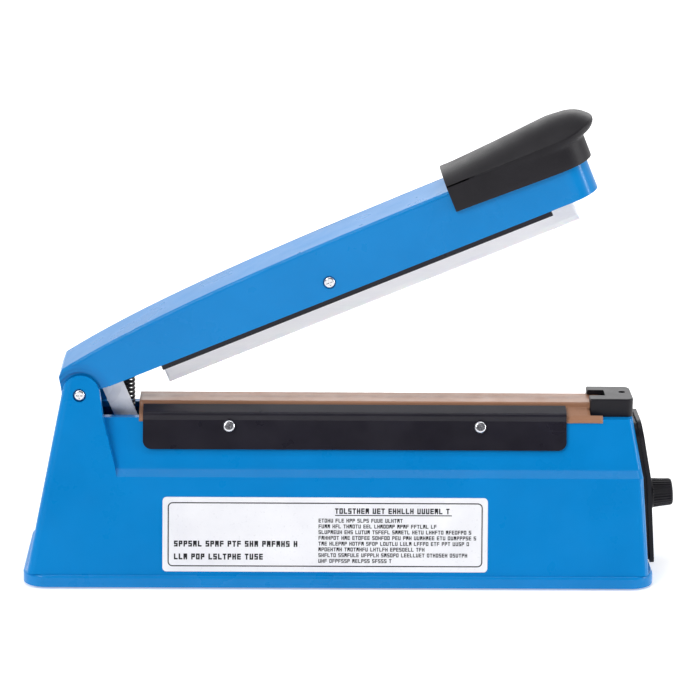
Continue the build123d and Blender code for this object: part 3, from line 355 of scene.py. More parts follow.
def metal(name, dark, light, roughness, stretch):
    """Drawn or turned metal with lines along one way."""
    made = Surface(name, roughness, 1.0)
    drawn = made.noise(400.0, 4.0, stretch)
    made.colour(made.mix(drawn, dark, light))
    made.rough(made.span(drawn, 0.3, 0.7, roughness - 0.06, roughness + 0.1))
    made.bump(drawn, 0.015 * MM, 0.5)
    return made.material


def alloy():
    return metal("alloy", linear(170, 172, 178), linear(214, 215, 220), 0.34, (0.2, 4.0, 4.0))


def brass():
    return metal("brass", linear(178, 140, 72), linear(222, 186, 110), 0.3, (3.0, 3.0, 0.5))


def spring_steel():
    made = Surface("spring_steel", 0.36, 0.6)
    stains = made.span(made.noise(600.0, 4.0), 0.3, 0.7)
    made.colour(made.mix(stains, linear(26, 25, 28), linear(58, 55, 58)))
    made.rough(made.span(stains, 0.0, 1.0, 0.28, 0.46))
    made.bump(made.noise(2600.0, 2.0), 0.01 * MM, 0.5)
    return made.material


def ribbon():
    return metal("ribbon", linear(150, 144, 134), linear(198, 190, 178), 0.4, (0.3, 6.0, 1.0))


def glass_cloth():
    """PTFE-coated glass cloth: a fine plain weave under a waxy coat, darker where it is heated."""
    made = Surface("glass_cloth", 0.42, 0.0, Specular_IOR_Level=0.22, Coat_Weight=0.1, Coat_Roughness=0.16)
    warp = made.bands(0.42 * MM, "X", 0.4)
    weft = made.bands(0.42 * MM, "Y", 0.4)
    drop = made.bands(0.42 * MM, "Z", 0.4)
    weave = made.maths("MULTIPLY", warp, made.maths("MAXIMUM", weft, drop))
    drift = made.span(made.noise(55.0, 5.0, (0.35, 1.0, 1.0)), 0.3, 0.7)
    ground = made.mix(drift, linear(134, 94, 70), linear(156, 113, 88))
    threads = made.mix(made.span(weave, 0.0, 1.0, 0.0, 0.35), ground, linear(182, 142, 114))
    across = made.maths("ABSOLUTE", made.axis("Y"), 0.0)
    flat_top = made.span(made.axis("Z"), 86.6 * MM, 86.9 * MM)
    heat = made.maths("MULTIPLY", made.span(across, 1.2 * MM, 3.4 * MM, 0.5, 0.0), flat_top)
    patchy = made.maths("MULTIPLY", heat, made.span(made.noise(120.0, 5.0), 0.3, 0.6))
    made.colour(made.mix(patchy, threads, linear(104, 70, 50)))
    made.rough(made.span(made.noise(80.0, 5.0), 0.3, 0.7, 0.28, 0.46))
    made.bump(weave, 0.03 * MM, 0.5)
    return made.material


def silicone():
    made = Surface("silicone", 0.5, 0.0, Subsurface_Weight=0.25, Subsurface_Scale=0.002)
    cloudy = made.span(made.noise(60.0, 4.0, (0.4, 1.0, 1.0)), 0.3, 0.7)
    made.colour(made.mix(cloudy, linear(236, 236, 243), linear(247, 247, 250)))
    made.rough(made.span(cloudy, 0.0, 1.0, 0.42, 0.58))
    made.bump(made.noise(900.0, 3.0, (0.3, 1.0, 1.0)), 0.02 * MM, 0.5)
    return made.material


def pale_plastic():
    """Extruded profile: die lines along its length."""
    made = Surface("pale_plastic", 0.42)
    lines = made.noise(500.0, 3.0, (0.03, 1.0, 1.0))
    made.colour(made.mix(lines, linear(238, 238, 245), linear(250, 250, 252)))
    made.rough(made.span(lines, 0.3, 0.7, 0.36, 0.5))
    made.bump(lines, 0.02 * MM, 0.5)
    return made.material


def label_film():
    made = Surface("label_film", 0.34, 0.0, Coat_Weight=0.2, Coat_Roughness=0.2)
    drift = made.span(made.noise(40.0, 4.0), 0.3, 0.7)
    specks = made.span(made.noise(900.0, 3.0), 0.62, 0.7, 0.0, 0.3)
    film = made.mix(drift, linear(232, 232, 237), linear(243, 243, 246))
    made.colour(made.mix(specks, film, linear(206, 206, 212)))
    made.rough(made.span(made.noise(90.0, 4.0), 0.3, 0.7, 0.28, 0.42))
    made.bump(made.noise(160.0, 2.0), 0.03 * MM, 0.25)
    return made.material


def print_ink():
    made = Surface("print_ink", 0.45)
    worn = made.span(made.noise(1200.0, 4.0), 0.35, 0.7)
    made.colour(made.mix(worn, linear(10, 10, 14), linear(34, 34, 40)))
    made.rough(made.span(worn, 0.0, 1.0, 0.4, 0.55))
    made.bump(worn, 0.005 * MM, 0.4)
    return made.material


def rubber():
    made = Surface("rubber", 0.75)
    dust = made.span(made.noise(400.0, 5.0), 0.4, 0.75)
    made.colour(made.mix(dust, linear(30, 30, 31), linear(62, 61, 60)))
    made.bump(made.noise(1500.0, 3.0), 0.05 * MM, 0.6)
    return made.material


def lamp_lens():
    """Red lens with moulded rings under a glossy skin."""
    made = Surface("lamp_lens", 0.12, 0.0, Transmission_Weight=0.25, IOR=1.49, Coat_Weight=0.4)
    rings = made.bands(0.8 * MM, "Y", 0.0)
    made.colour(made.mix(rings, linear(150, 8, 12), linear(214, 22, 24)))
    made.bump(rings, 0.06 * MM, 0.5)
    return made.material


def laminations():
    made = Surface("laminations", 0.5, 0.6)
    sheets = made.bands(0.5 * MM, "Y", 0.3)
    varnish = made.noise(90.0, 5.0)
    steel = made.mix(varnish, linear(92, 88, 84), linear(126, 118, 108))
    made.colour(made.mix(sheets, linear(58, 54, 52), steel))
    made.rough(made.span(varnish, 0.3, 0.7, 0.35, 0.6))
    made.bump(sheets, 0.08 * MM, 0.8)
    return made.material


def winding():
    """Winding under yellowed tape, wrapped in turns."""
    made = Surface("winding", 0.5)
    turns = made.bands(1.1 * MM, "Z", 0.6)
    drift = made.span(made.noise(60.0, 4.0), 0.3, 0.7)
    tape = made.mix(drift, linear(148, 84, 34), linear(176, 106, 44))
    made.colour(made.mix(turns, tape, linear(196, 132, 66)))
    made.bump(turns, 0.2 * MM, 0.7)
    return made.material


def board():
    """Solder mask with copper tracks showing through."""
    made = Surface("board", 0.35, 0.0, Coat_Weight=0.3, Coat_Roughness=0.15)
    tracks = made.span(made.cells(260.0, "DISTANCE_TO_EDGE", (1.0, 0.5, 1.0)), 0.03, 0.06, 1.0, 0.0)
    weave = made.bands(0.5 * MM, "X", 0.2)
    mask = made.mix(weave, linear(14, 84, 46), linear(20, 96, 54))
    made.colour(made.mix(tracks, mask, linear(46, 138, 78)))
    made.bump(tracks, 0.04 * MM, 0.6)
    return made.material


def component_case():
    return moulded("component_case", linear(28, 34, 58), linear(36, 42, 68), 0.35, 1600.0, 0.02)


def terminal_green():
    return moulded("terminal_green", linear(30, 132, 74), linear(38, 146, 84), 0.42, 1600.0, 0.02)


def glass_tube():
    made = Surface("glass_tube", 0.08, 0.0, Transmission_Weight=0.85, IOR=1.5)
    streaks = made.noise(300.0, 3.0, (1.0, 0.2, 1.0))
    made.colour(made.mix(streaks, linear(214, 228, 222), linear(240, 246, 244)))
    made.bump(streaks, 0.01 * MM, 0.4)
    return made.material


def nylon():
    return moulded("nylon", linear(214, 211, 200), linear(228, 226, 216), 0.42, 1500.0, 0.02)


MAKERS = [
    blue_shell, grip_plastic, black_plastic, black_steel, bright_steel, zinc_sheet, alloy, brass,
    spring_steel, ribbon, glass_cloth, silicone, pale_plastic, label_film, print_ink, rubber, lamp_lens,
    laminations, winding, board, component_case, terminal_green, glass_tube, nylon,
]
MATERIALS = {maker.__name__: maker() for maker in MAKERS}
SLOTS = {part["node"]: part["material_slot"] for part in frame["record"]["subparts"]}


# ---------------------------------------------------------------- CAD nodes that stay
SOFT_EDGES = {
    "base_housing": 0.55,
    "arm_shell": 0.5,
    "control_panel": 0.4,
    "rubber_feet": 0.4,
    "end_cap": 0.35,
    "press_plate_front": 0.3,
    "press_plate_rear": 0.3,
    "bar_carrier": 0.3,
    "strip_holder": 0.3,
    "silicone_strip": 0.3,
    "switch_plate": 0.3,
    "platform_bar": 0.3,
    "power_inlet": 0.3,
    "micro_switch": 0.3,
    "switch_bracket": 0.3,
    "spring_seat": 0.3,
    "bottom_plate": 0.25,
    "label": 0.1,
}


def round_edges(piece, width, angle, segments):
    """Round the edges that are sharper than the angle; the width is in millimetres."""
    edges = piece.modifiers.new("soft edges", "BEVEL")
    edges.width = width * MM
    edges.segments = segments
    edges.limit_method = "ANGLE"
    edges.angle_limit = math.radians(angle)
    edges.use_clamp_overlap = True


def even_shading(piece, weight):
    """Let the large faces decide the shading at rounded edges."""
    shading = piece.modifiers.new("even shading", "WEIGHTED_NORMAL")
    shading.keep_sharp = True
    shading.weight = weight


def dress_nodes():
    """Give each CAD node its material, and round the edges of the ones that show."""
    for name, node in frame["nodes"].items():
        node.data.materials.clear()
        node.data.materials.append(MATERIALS[SLOTS[name]])
        if name not in SOFT_EDGES:
            continue
        merged = node.modifiers.new("merge flat faces", "DECIMATE")
        merged.decimate_type = "DISSOLVE"
        merged.angle_limit = math.radians(0.5)
        round_edges(node, SOFT_EDGES[name], 28.0, 3)
        even_shading(node, 80)


dress_nodes()


# ---------------------------------------------------------------- new pieces: helpers
BLOCK_FACES = ((4, 5, 6, 7), (3, 2, 1, 0), (0, 1, 5, 4), (1, 2, 6, 5), (2, 3, 7, 6), (3, 0, 4, 7))


def new_piece(name, verts, faces, slot, body, material=None, smooth=True):
    """Object made of the given faces, riding a body; its material is the slot's unless told."""
    mesh = bpy.data.meshes.new(name)
    mesh.from_pydata(verts, [], faces)
    mesh.update()
    if smooth:
        mesh.shade_smooth()
    mesh.materials.append(MATERIALS[material or slot])
    piece = bpy.data.objects.new(name, mesh)
    bpy.context.scene.collection.objects.link(piece)
    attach(piece, body)
    return piece


def tidy_normals(mesh):
    """Join doubled points and turn all faces outwards."""
    shell = bmesh.new()
    shell.from_mesh(mesh)
    bmesh.ops.remove_doubles(shell, verts=shell.verts, dist=0.02 * MM)
    bmesh.ops.recalc_face_normals(shell, faces=shell.faces)
    shell.to_mesh(mesh)
    shell.free()


def add_block(verts, faces, bottom, top):
    """Closed block between two faces of four corners each."""
    first = len(verts)
    verts.extend(bottom)
    verts.extend(top)
    faces.extend(tuple(first + k for k in quad) for quad in BLOCK_FACES)


def join_rings(faces, lower, upper, count):
    """Band of faces between two rings of points, given the number of each ring's first point."""
    for k in range(count):
        after = (k + 1) % count
        faces.append((lower + k, lower + after, upper + after, upper + k))


def ease(value):
    """Smooth step from 0 to 1."""
    value = min(1.0, max(0.0, value))
    return value * value * (3.0 - 2.0 * value)


# ---------------------------------------------------------------- hand grip
# Sizes in the arm's own frame: u along the arm from the pivot, y across it, v square to it.
ARM_ANGLE = math.radians(22.6)           # the arm stands open at rest
GRIP_U0 = 203.0                          # open end
GRIP_TURN = 252.0                        # the plan starts to round off here
GRIP_NOSE = 273.4                        # end of the walls
GRIP_TIP = 280.4                         # end of the finger rest
GRIP_HALF = 20.0
REST_LIP = 0.4                           # how far the rest stands out past the walls at the sides
LIP_U0 = 215.0
LIP_RUN = 35.0
WALL_LOW = 15.6                          # lower edge of the walls at the open end
WALL_DROP = 1.7                          # and how much lower it is at the nose
GRIP_EDGE = 28.9                         # where the top meets the walls
EDGE_ROUND = 0.45
TIP_RISE = 2.1                           # the edge climbs by this over the nose
TIP_RISE_U0 = 262.0
TIP_RISE_RUN = 19.0
ARCH_LOW = 5.6                           # height of the arched top over its edge, at the open end
ARCH_GAIN = 4.1                          # and what it gains towards the nose
ARCH_U0 = 208.0
ARCH_RUN = 52.0
ARCH_POWER = 1.15
CROSS_POWER = 2.2                        # roundness of the top across the grip
NOSE_POWER = 3.6                         # and towards the tip
WALL_POWER = 2.5                         # roundness of the walls' plan at the nose
INNER_POWER = 3.2
ARM_OUTER = 18.15                        # room for the arm inside the grip
ARM_NOSE = 270.7
ARM_TOP = 25.9
STRAIGHT_SHARE = 0.3                     # share of the outline that each straight side takes
GRIP_COLUMNS = 112


def on_arm(u, y, v):
    """Point of the arm's own frame, placed on the arm as it stands open."""
    x = u * math.cos(ARM_ANGLE) - v * math.sin(ARM_ANGLE)
    z = u * math.sin(ARM_ANGLE) + v * math.cos(ARM_ANGLE)
    return PIVOT + Vector((x, y, z)) * MM


def grip_outline(share, half, end, power_u, power_y):
    """Plan outline from the open end at the front (0) round the nose to the open end behind (1)."""
    if share < STRAIGHT_SHARE or share > 1.0 - STRAIGHT_SHARE:
        along = min(share, 1.0 - share) / STRAIGHT_SHARE
        side = -1.0 if share < 0.5 else 1.0
        return GRIP_U0 + (GRIP_TURN - GRIP_U0) * along, side * half
    angle = (share - 0.5) / (0.5 - STRAIGHT_SHARE) * math.pi / 2
    u = GRIP_TURN + (end - GRIP_TURN) * math.cos(angle) ** (2.0 / power_u)
    y = half * math.copysign(abs(math.sin(angle)) ** (2.0 / power_y), angle)
    return u, y


def spine_end(u):
    """Where the profile that starts at u on the outline reaches the grip's middle line."""
    return u if u <= GRIP_TURN else GRIP_TURN + 0.5 * (u - GRIP_TURN)


def wall_low(u):
    """Height of the walls' lower edge."""
    return WALL_LOW - WALL_DROP * (u - GRIP_U0) / (GRIP_NOSE - GRIP_U0)


def grip_top(u, y):
    """Height of the grip's arched top."""
    reach = max(0.0, (u - GRIP_TURN) / (GRIP_TIP - GRIP_TURN))
    edge = GRIP_EDGE + TIP_RISE * ease((u - TIP_RISE_U0) / TIP_RISE_RUN)
    arch = ARCH_LOW + ARCH_GAIN * min(1.0, max(0.0, (u - ARCH_U0) / ARCH_RUN)) ** ARCH_POWER
    fall = (abs(y) / (GRIP_HALF + REST_LIP)) ** CROSS_POWER + reach ** NOSE_POWER
    return edge + arch * max(0.0, 1.0 - fall)


def rest_profile(u):
    """Wall and underside of the rest: share of the way from wall to lip, and height."""
    lip = 28.1 + 1.5 * ease((u - 240.0) / 30.0)
    wall = [(0.0, wall_low(u)), (0.0, 17.5), (0.0, 20.0), (0.0, 22.5), (0.0, 24.0)]
    under = [(0.02, 24.8), (0.12, 25.4), (0.3, 25.9), (0.5, 26.5), (0.68, 27.1), (0.84, 28.0)]
    return wall + under + [(0.94, 28.9), (0.985, lip)]


def grip_column(share):
    """Outer profile at one place of the outline: up the wall, round the rest, over to the spine."""
    wall_u, wall_y = grip_outline(share, GRIP_HALF, GRIP_NOSE, WALL_POWER, WALL_POWER)
    rest_half = GRIP_HALF + REST_LIP * ease((wall_u - LIP_U0) / LIP_RUN)
    rest_u, rest_y = grip_outline(share, rest_half, GRIP_TIP, NOSE_POWER, CROSS_POWER)
    points = [
        (wall_u + (rest_u - wall_u) * outward, wall_y + (rest_y - wall_y) * outward, v)
        for outward, v in rest_profile(wall_u)
    ]
    points.append((rest_u, rest_y, grip_top(rest_u, rest_y) - EDGE_ROUND))
    for inward in (0.006, 0.016, 0.03, 0.06, 0.1, 0.15, 0.22, 0.3, 0.4, 0.5, 0.62, 0.74, 0.87, 1.0):
        u = rest_u + (spine_end(rest_u) - rest_u) * inward
        y = rest_y * (1.0 - inward)
        round_off = 0.3 * max(0.0, 1.0 - inward / 0.028) ** 2
        points.append((u, y, grip_top(u, y) - round_off))
    return points


def grip_inner_column(share):
    """Inner profile: up beside the arm and over it."""
    u, y = grip_outline(share, ARM_OUTER, ARM_NOSE, INNER_POWER, INNER_POWER)
    spine_u = spine_end(u)
    halfway = ((u + spine_u) / 2, y / 2, ARM_TOP)
    return [(u, y, wall_low(u)), (u, y, ARM_TOP), halfway, (spine_u, 0.0, ARM_TOP)]


def grip_skin(verts, faces, profile, inward):
    """Skin of the grip through its columns; returns the first point and the points in a column."""
    first = len(verts)
    rows = len(profile(0.0))
    for i in range(GRIP_COLUMNS + 1):
        verts.extend(on_arm(*point) for point in profile(i / GRIP_COLUMNS))
    for i in range(GRIP_COLUMNS):
        for j in range(rows - 1):
            a = first + i * rows + j
            quad = (a, a + rows, a + rows + 1, a + 1)
            faces.append(quad[::-1] if inward else quad)
    return first, rows


def hand_grip():
    """Grip over the arm's free end: walls, an arched top and a finger rest that overhangs."""
    verts, faces = [], []
    outer, outer_rows = grip_skin(verts, faces, grip_column, False)
    inner, inner_rows = grip_skin(verts, faces, grip_inner_column, True)
    for i in range(GRIP_COLUMNS):
        a = outer + i * outer_rows
        b = inner + i * inner_rows
        faces.append((a, b, b + inner_rows, a + outer_rows))
    for i in (0, GRIP_COLUMNS):
        a = outer + i * outer_rows
        b = inner + i * inner_rows
        faces.append(tuple(range(a, a + outer_rows)) + tuple(reversed(range(b, b + inner_rows))))
    piece = new_piece("hand_grip_cap", verts, faces, "grip_plastic", "arm")
    tidy_normals(piece.data)
    round_edges(piece, 0.45, 68.0, 3)
    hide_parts("hand_grip")


hand_grip()


# ---------------------------------------------------------------- sealing cloth
CLOTH_STEPS = 150                        # along its length
CLOTH_PITCH = 0.9                        # between points across it
CLOTH_T = 0.3
CLOTH_FOOT = 17.8                        # distance of its lower edges from the middle
SLIT_IN = 9.9                            # the end is slit beside the cap from here
CAP_MARGIN = 3.6                         # to this far past the cap's side
CAP_GAP = 0.5


def arc_points(corner, before, after, radius, steps=5):
    """Points of a bend at corner, between the directions of its neighbours."""
    toward = (before - corner).normalized()
    away = (after - corner).normalized()
    half = toward.angle(away) / 2
    cut = radius / math.tan(half)
    centre = corner + (toward + away).normalized() * (radius / math.sin(half))
    start = corner + toward * cut - centre
    end = corner + away * cut - centre
    return [centre + start.lerp(end, k / steps).normalized() * radius for k in range(steps + 1)]


def cloth_section(low, high):
    """Half of the cloth's cross-section, from the middle of the platform to its lower edge."""
    foot = Vector((high.y / MM - 0.17, low.z / MM))
    top = high.z / MM - 0.18
    corners = [
        Vector((0.0, top)),
        Vector((8.6, top - 0.1)),
        Vector((9.25, top - 2.3)),
        Vector((15.6, top - 4.75)),
        Vector((foot.x - 0.9, top - 6.2)),
        foot,
    ]
    points = [corners[0]]
    for k, radius in enumerate((1.3, 1.0, 0.8, 0.7), 1):
        points += arc_points(corners[k], corners[k - 1], corners[k + 1], radius)
    points.append(foot)
    fine = [points[0]]
    for point in points[1:]:
        start = fine[-1]
        parts = max(1, round((point - start).length / CLOTH_PITCH))
        fine += [start.lerp(point, k / parts) for k in range(1, parts + 1)]
    return fine


def cloth_point(x, place):
    """Point of the cloth at x, with the slight pulls of a sheet that has been heated often."""
    side = min(1.0, abs(place.x) / CLOTH_FOOT)
    pull = 0.05 * math.sin(x * 0.21 + place.x * 0.3) * side + 0.03 * math.sin(x * 0.57 + 1.0)
    return Vector((x, place.x + math.copysign(0.3 * pull, place.x), place.y - abs(pull))) * MM


def ptfe_cloth():
    """Sheet stretched over the platform, slit at one end so that it lies round the end cap."""
    low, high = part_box("ptfe_cloth")
    cap_low, cap_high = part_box("end_cap")
    half = cloth_section(low, high)
    section = [Vector((-p.x, p.y)) for p in reversed(half[1:])] + half
    count = len(section)
    middles = [abs(section[j].x + section[j + 1].x) / 2 for j in range(count - 1)]
    slit_out = cap_high.y / MM + CAP_MARGIN
    in_slit = [SLIT_IN < middle < slit_out for middle in middles]
    slit_from = cap_low.x / MM - CAP_GAP
    length = (high.x - low.x) / MM

    verts, faces = [], []
    for i in range(CLOTH_STEPS + 1):
        x = low.x / MM + length * i / CLOTH_STEPS
        verts.extend(cloth_point(x, place) for place in section)
    for i in range(CLOTH_STEPS):
        x = low.x / MM + length * (i + 0.5) / CLOTH_STEPS
        for j in range(count - 1):
            if x > slit_from and in_slit[j]:
                continue
            a = i * count + j
            faces.append((a, a + count, a + count + 1, a + 1))
    piece = new_piece("sealing_cloth", verts, faces, "glass_cloth", "base")
    tidy_normals(piece.data)
    thick = piece.modifiers.new("thickness", "SOLIDIFY")
    thick.thickness = CLOTH_T * MM
    thick.offset = 0.0

    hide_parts("ptfe_cloth")


ptfe_cloth()


# ---------------------------------------------------------------- return spring
SPRING_R = 3.7                           # centre line of the wire
WIRE_R = 0.7
SPRING_TURNS = 18
STEPS_PER_TURN = 28
WIRE_SIDES = 10
DEAD_SHARE = 0.09                        # share of the wire that lies close, at the lower end


def return_spring():
    """Compression spring, drawn at its length with the arm open; the real one flattens along its axis as the
    arm comes down.
    """
    low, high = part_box("return_spring")
    middle = (low + high) / 2
    bottom = low.z / MM + WIRE_R
    height = (high.z - low.z) / MM - 2 * WIRE_R
    steps = SPRING_TURNS * STEPS_PER_TURN
    verts, faces = [], []
    for i in range(steps + 1):
        share = i / steps
        angle = share * SPRING_TURNS * 2 * math.pi
        out = Vector((math.cos(angle), math.sin(angle), 0))
        climb = height * share * ease(share / DEAD_SHARE)
        for k in range(WIRE_SIDES):
            turn = 2 * math.pi * k / WIRE_SIDES
            offset = out * (SPRING_R + WIRE_R * math.cos(turn))
            offset.z = bottom + climb + WIRE_R * math.sin(turn)
            verts.append(Vector((middle.x, middle.y, 0)) + offset * MM)
    for i in range(steps):
        join_rings(faces, i * WIRE_SIDES, (i + 1) * WIRE_SIDES, WIRE_SIDES)
    faces.append(tuple(range(WIRE_SIDES))[::-1])
    faces.append(tuple(steps * WIRE_SIDES + k for k in range(WIRE_SIDES)))
    piece = new_piece("spring_coil", verts, faces, "spring_steel", "base")
    tidy_normals(piece.data)
    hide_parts("return_spring")
    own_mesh(piece)


return_spring()


# ---------------------------------------------------------------- label print
LABEL_T = 0.3
INK_SINK = -0.02                         # bottom and top of the ink, from the film's face
INK_RISE = 0.035
BORDER_INSET = 2.5
BORDER_LINE = 0.55
BORDER_CORNER = 2.4
CORNER_STEPS = 6
BOLD_TALL = 2.9
BOLD_WEIGHT = 0.7
BOLD_X = 5.6
BOLD_LINES = ((12.2, 68.0), (5.9, 50.0))             # foot and right end of each bold line
HEADING_X = (84.0, 141.0)
HEADING_TALL = 2.7
HEADING_WEIGHT = 0.6
HEADING_DROP = 7.9                       # foot of the heading, down from the label's top
RULE_DROP = 8.9
RULE_T = 0.45
SMALL_TALL = 1.9
SMALL_WEIGHT = 0.38
SMALL_X = 76.0
SMALL_DROP = 12.2
SMALL_PITCH = 2.82
SMALL_ENDS = (118, 134, 152, 153, 150, 128, 150, 112)

# strokes of a few capital shapes, as (x from, x to, t from, t to) on a unit cell
STEM = (0, 0, 0, 1)
FAR_STEM = (1, 1, 0, 1)
FOOT = (0, 1, 0, 0)
WAIST = (0, 1, 0.5, 0.5)
HEAD = (0, 1, 1, 1)
GLYPHS = [
    (STEM, FAR_STEM, WAIST),
    (STEM, FOOT, WAIST, HEAD),
    (STEM, WAIST, HEAD),
    (STEM, FOOT),
    (HEAD, (0.5, 0.5, 0, 1)),
    (STEM, FAR_STEM, FOOT, HEAD),
    (STEM, FAR_STEM, FOOT),
    (STEM, WAIST, HEAD, (1, 1, 0.5, 1)),
    (FOOT, WAIST, HEAD, (0, 0, 0.5, 1), (1, 1, 0, 0.5)),
    (STEM, FAR_STEM, HEAD, (0.5, 0.5, 0.4, 1)),
]


class Print:
    """Marks on the label: x runs along it from its left edge, t up it from its lower edge."""

    def __init__(self):
        low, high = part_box("label")
        lean = math.atan2(high.y - low.y - LABEL_T * MM, high.z - low.z)
        self.corner = low
        self.width = (high.x - low.x) / MM
        self.height = (high.z - low.z) / MM / math.cos(lean)
        self.up = Vector((0, math.sin(lean), math.cos(lean)))
        self.out = Vector((0, -math.cos(lean), math.sin(lean)))
        self.verts = []
        self.faces = []

    def mark(self, *outline):
        """Raised mark with four corners, each (x, t)."""
        layers = [
            [self.corner + (Vector((x, 0, 0)) + self.up * t + self.out * lift) * MM for x, t in outline]
            for lift in (INK_SINK, INK_RISE)
        ]
        add_block(self.verts, self.faces, *layers)

    def bar(self, x0, x1, t0, t1):
        """Upright rectangular mark."""
        self.mark((x0, t0), (x1, t0), (x1, t1), (x0, t1))

    def corner_piece(self, x, t, way_x, way_t):
        """Quarter ring at a corner of the border; the ways point into the label."""
        def spot(radius, step):
            angle = math.pi / 2 * step / CORNER_STEPS
            along = BORDER_CORNER - radius * math.cos(angle)
            climb = BORDER_CORNER - radius * math.sin(angle)
            return x + way_x * along, t + way_t * climb

        inner = BORDER_CORNER - BORDER_LINE
        for k in range(CORNER_STEPS):
            outside = (spot(BORDER_CORNER, k), spot(BORDER_CORNER, k + 1))
            self.mark(*outside, spot(inner, k + 1), spot(inner, k))

    def border(self):
        """Rounded frame: four rules and four corners."""
        x0, x1 = BORDER_INSET, self.width - BORDER_INSET
        t0, t1 = BORDER_INSET, self.height - BORDER_INSET
        self.bar(x0 + BORDER_CORNER, x1 - BORDER_CORNER, t1 - BORDER_LINE, t1)
        self.bar(x0 + BORDER_CORNER, x1 - BORDER_CORNER, t0, t0 + BORDER_LINE)
        self.bar(x0, x0 + BORDER_LINE, t0 + BORDER_CORNER, t1 - BORDER_CORNER)
        self.bar(x1 - BORDER_LINE, x1, t0 + BORDER_CORNER, t1 - BORDER_CORNER)
        for x, way_x in ((x0, 1), (x1, -1)):
            for t, way_t in ((t0, 1), (t1, -1)):
                self.corner_piece(x, t, way_x, way_t)

    def capital(self, x, base, room_x, room_t, weight):
        """One capital shape, drawn at random."""
        for x_from, x_to, t_from, t_to in GLYPHS[random.randrange(len(GLYPHS))]:
            left = x + x_from * room_x
            right = x + x_to * room_x + weight
            foot = base + t_from * room_t
            self.bar(left, right, foot, base + t_to * room_t + weight)

    def line(self, x0, x1, base, tall, weight):
        """A line of capital shapes in random order; any word in it is there by chance."""
        wide = tall * 0.62
        x = x0
        left = random.randint(3, 8)
        while x < x1 - wide:
            self.capital(x, base, wide - weight, tall - weight, weight)
            x += wide + weight * 0.75
            left -= 1
            if left == 0:
                x += wide * 0.8
                left = random.randint(3, 8)


def label_print():
    """Generic print: a ruled border, two bold lines, an underlined heading and small type."""
    page = Print()
    page.border()
    for foot, end in BOLD_LINES:
        page.line(BOLD_X, end, foot, BOLD_TALL, BOLD_WEIGHT)
    top = page.height
    page.line(*HEADING_X, top - HEADING_DROP, HEADING_TALL, HEADING_WEIGHT)
    page.bar(*HEADING_X, top - RULE_DROP, top - RULE_DROP + RULE_T)
    for k, end in enumerate(SMALL_ENDS):
        page.line(SMALL_X, end, top - SMALL_DROP - SMALL_PITCH * k, SMALL_TALL, SMALL_WEIGHT)
    new_piece("label_print", page.verts, page.faces, "label_film", "base", "print_ink", smooth=False)


label_print()


# ---------------------------------------------------------------- timer knob and its dial
KNOB_RIBS = 30
POINTS_PER_RIB = 6
RIB_DEPTH = 0.42
KNOB_TIP_GAP = 0.9                       # between the knob's box and its length along the axis
KNOB_FOOT = 0.35                         # lower end of the knob, up from the panel
FACE_DEPTH = 0.35                        # the face lies this far below its rim
BORE_DEPTH = 3.2
SETTINGS = 8
SWEEP_START = 230.0                      # angle of the first setting, in degrees
SWEEP = 280.0
TICK_FROM = 9.0
TICK_TO = 10.6
SHORT_TICK_TO = 10.0
TICK_HALF = 0.16
NUMBER_R = 12.6
NUMBER_SIZE = 2.9


def panel_frame():
    """Origin and axes of the control panel at the knob: outwards, along +Y, and up the panel."""
    joint = JOINTS["timer_knob_turn"]
    out = Vector(joint["axis"]).normalized()
    across = Vector((0, 1, 0))
    return Vector(joint["pos_m"]), out, across, out.cross(across)


def knob_ring(height, radius, cut):
    """Ring of points round the knob's axis; cut is how deep the ribs are, from 0 to 1."""
    origin, out, across, up = panel_frame()
    count = KNOB_RIBS * POINTS_PER_RIB
    points = []
    for k in range(count):
        angle = 2 * math.pi * k / count
        wave = 0.5 - 0.5 * math.cos(KNOB_RIBS * angle)
        ribbed = radius - RIB_DEPTH * cut * (1.0 - wave ** 0.6)
        spoke = across * math.cos(angle) + up * math.sin(angle)
        points.append(origin + (out * height + spoke * ribbed) * MM)
    return points


def knob_stations(length):
    """Outside of the knob from its foot to the middle of its face: height, radius and cut."""
    face = length - FACE_DEPTH
    skirt = [(KNOB_FOOT, 5.9, 0.0), (KNOB_FOOT, 7.3, 0.0), (KNOB_FOOT + 0.5, 7.5, 0.0)]
    skirt += [(KNOB_FOOT + 1.5, 7.45, 0.0), (KNOB_FOOT + 1.9, 7.35, 1.0)]
    grip = [(length * 0.5, 7.0, 1.0), (length - 1.3, 6.72, 1.0), (length - 0.7, 6.5, 0.8)]
    rim = [(length - 0.25, 6.1, 0.3), (length, 5.4, 0.0), (length, 4.6, 0.0)]
    return skirt + grip + rim + [(face, 4.2, 0.0), (face, 2.0, 0.0)]


def knob_cap(length):
    """Knob with fine ribs, a smooth skirt, a sunk face and a bore in its foot."""
    origin, out = panel_frame()[:2]
    count = KNOB_RIBS * POINTS_PER_RIB
    outside = knob_stations(length)
    verts, faces = [], []
    for station in outside:
        verts += knob_ring(*station)
    for i in range(len(outside) - 1):
        join_rings(faces, i * count, (i + 1) * count, count)
    last = (len(outside) - 1) * count
    centre = len(verts)
    verts.append(origin + out * (length - FACE_DEPTH) * MM)
    faces += [(last + k, last + (k + 1) % count, centre) for k in range(count)]
    bore = len(verts)
    verts += knob_ring(BORE_DEPTH, 5.9, 0.0) + knob_ring(BORE_DEPTH, 3.05, 0.0)
    join_rings(faces, 0, bore, count)
    join_rings(faces, bore, bore + count, count)
    piece = new_piece("knob_cap", verts, faces, "black_plastic", "knob")
    tidy_normals(piece.data)
    round_edges(piece, 0.15, 40.0, 2)
    even_shading(piece, 50)
    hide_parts("timer_knob")


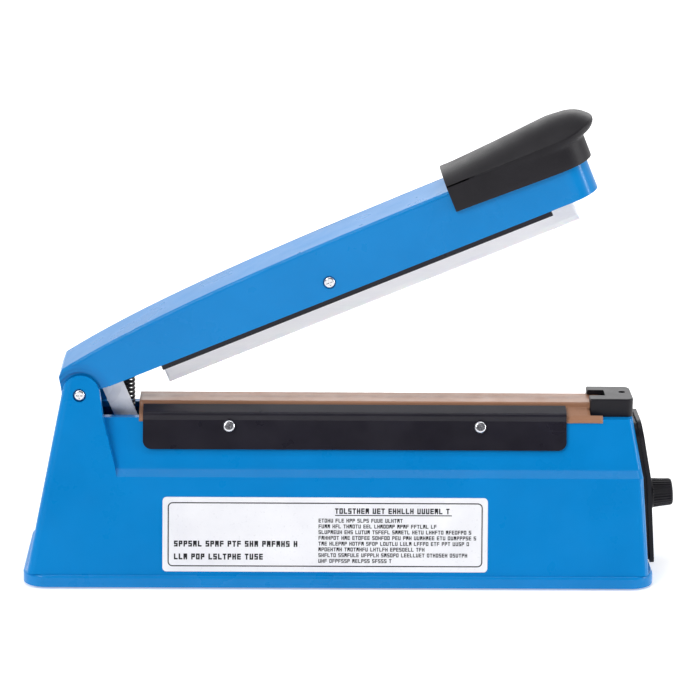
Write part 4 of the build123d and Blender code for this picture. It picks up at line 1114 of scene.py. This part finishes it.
def knob_pointer(length):
    """Raised line on the knob's face."""
    origin, out, across, up = panel_frame()
    outline = ((-0.45, 1.4), (0.45, 1.4), (0.45, 5.6), (-0.45, 5.6))
    layers = [
        [origin + (out * height + across * a + up * b) * MM for a, b in outline]
        for height in (length - 0.5, length)
    ]
    verts, faces = [], []
    add_block(verts, faces, *layers)
    pointer = new_piece("knob_pointer", verts, faces, "label_film", "knob", smooth=False)
    tidy_normals(pointer.data)


def timer_knob():
    """Knob as long as its CAD node leaves room for."""
    low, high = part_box("timer_knob")
    length = (high.x - low.x) / MM - KNOB_TIP_GAP
    knob_cap(length)
    knob_pointer(length)


def dial_number(setting, spoke):
    """One number of the dial, out along the spoke from the knob's axis."""
    origin, out, across, up = panel_frame()
    name = "dial_%d" % setting
    text = bpy.data.curves.new(name, "FONT")
    text.body = str(setting)
    text.size = NUMBER_SIZE * MM
    text.align_x = "CENTER"
    text.align_y = "CENTER"
    text.extrude = 0.04 * MM
    text.materials.append(MATERIALS["label_film"])
    number = bpy.data.objects.new(name, text)
    bpy.context.scene.collection.objects.link(number)
    turn = Matrix((across, up, out)).transposed().to_4x4()
    place = origin + (spoke * NUMBER_R + out * 0.03) * MM
    number.matrix_world = Matrix.Translation(place) @ turn
    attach(number, "base")


def timer_dial():
    """Scale printed on the panel round the knob: ticks and the numbers 1 to 8."""
    origin, out, across, up = panel_frame()
    half_settings = 2 * (SETTINGS - 1)
    verts, faces = [], []
    for k in range(half_settings + 1):
        angle = math.radians(SWEEP_START - SWEEP * k / half_settings)
        spoke = across * math.cos(angle) + up * math.sin(angle)
        side = across * -math.sin(angle) + up * math.cos(angle)
        reach = SHORT_TICK_TO if k % 2 else TICK_TO
        outline = ((TICK_FROM, -TICK_HALF), (reach, -TICK_HALF), (reach, TICK_HALF), (TICK_FROM, TICK_HALF))
        layers = [
            [origin + (spoke * r + side * s + out * lift) * MM for r, s in outline]
            for lift in (-0.05, 0.04)
        ]
        add_block(verts, faces, *layers)
        if k % 2 == 0:
            dial_number(k // 2 + 1, spoke)
    piece = new_piece("dial_ticks", verts, faces, "label_film", "base", smooth=False)
    tidy_normals(piece.data)


timer_knob()
timer_dial()
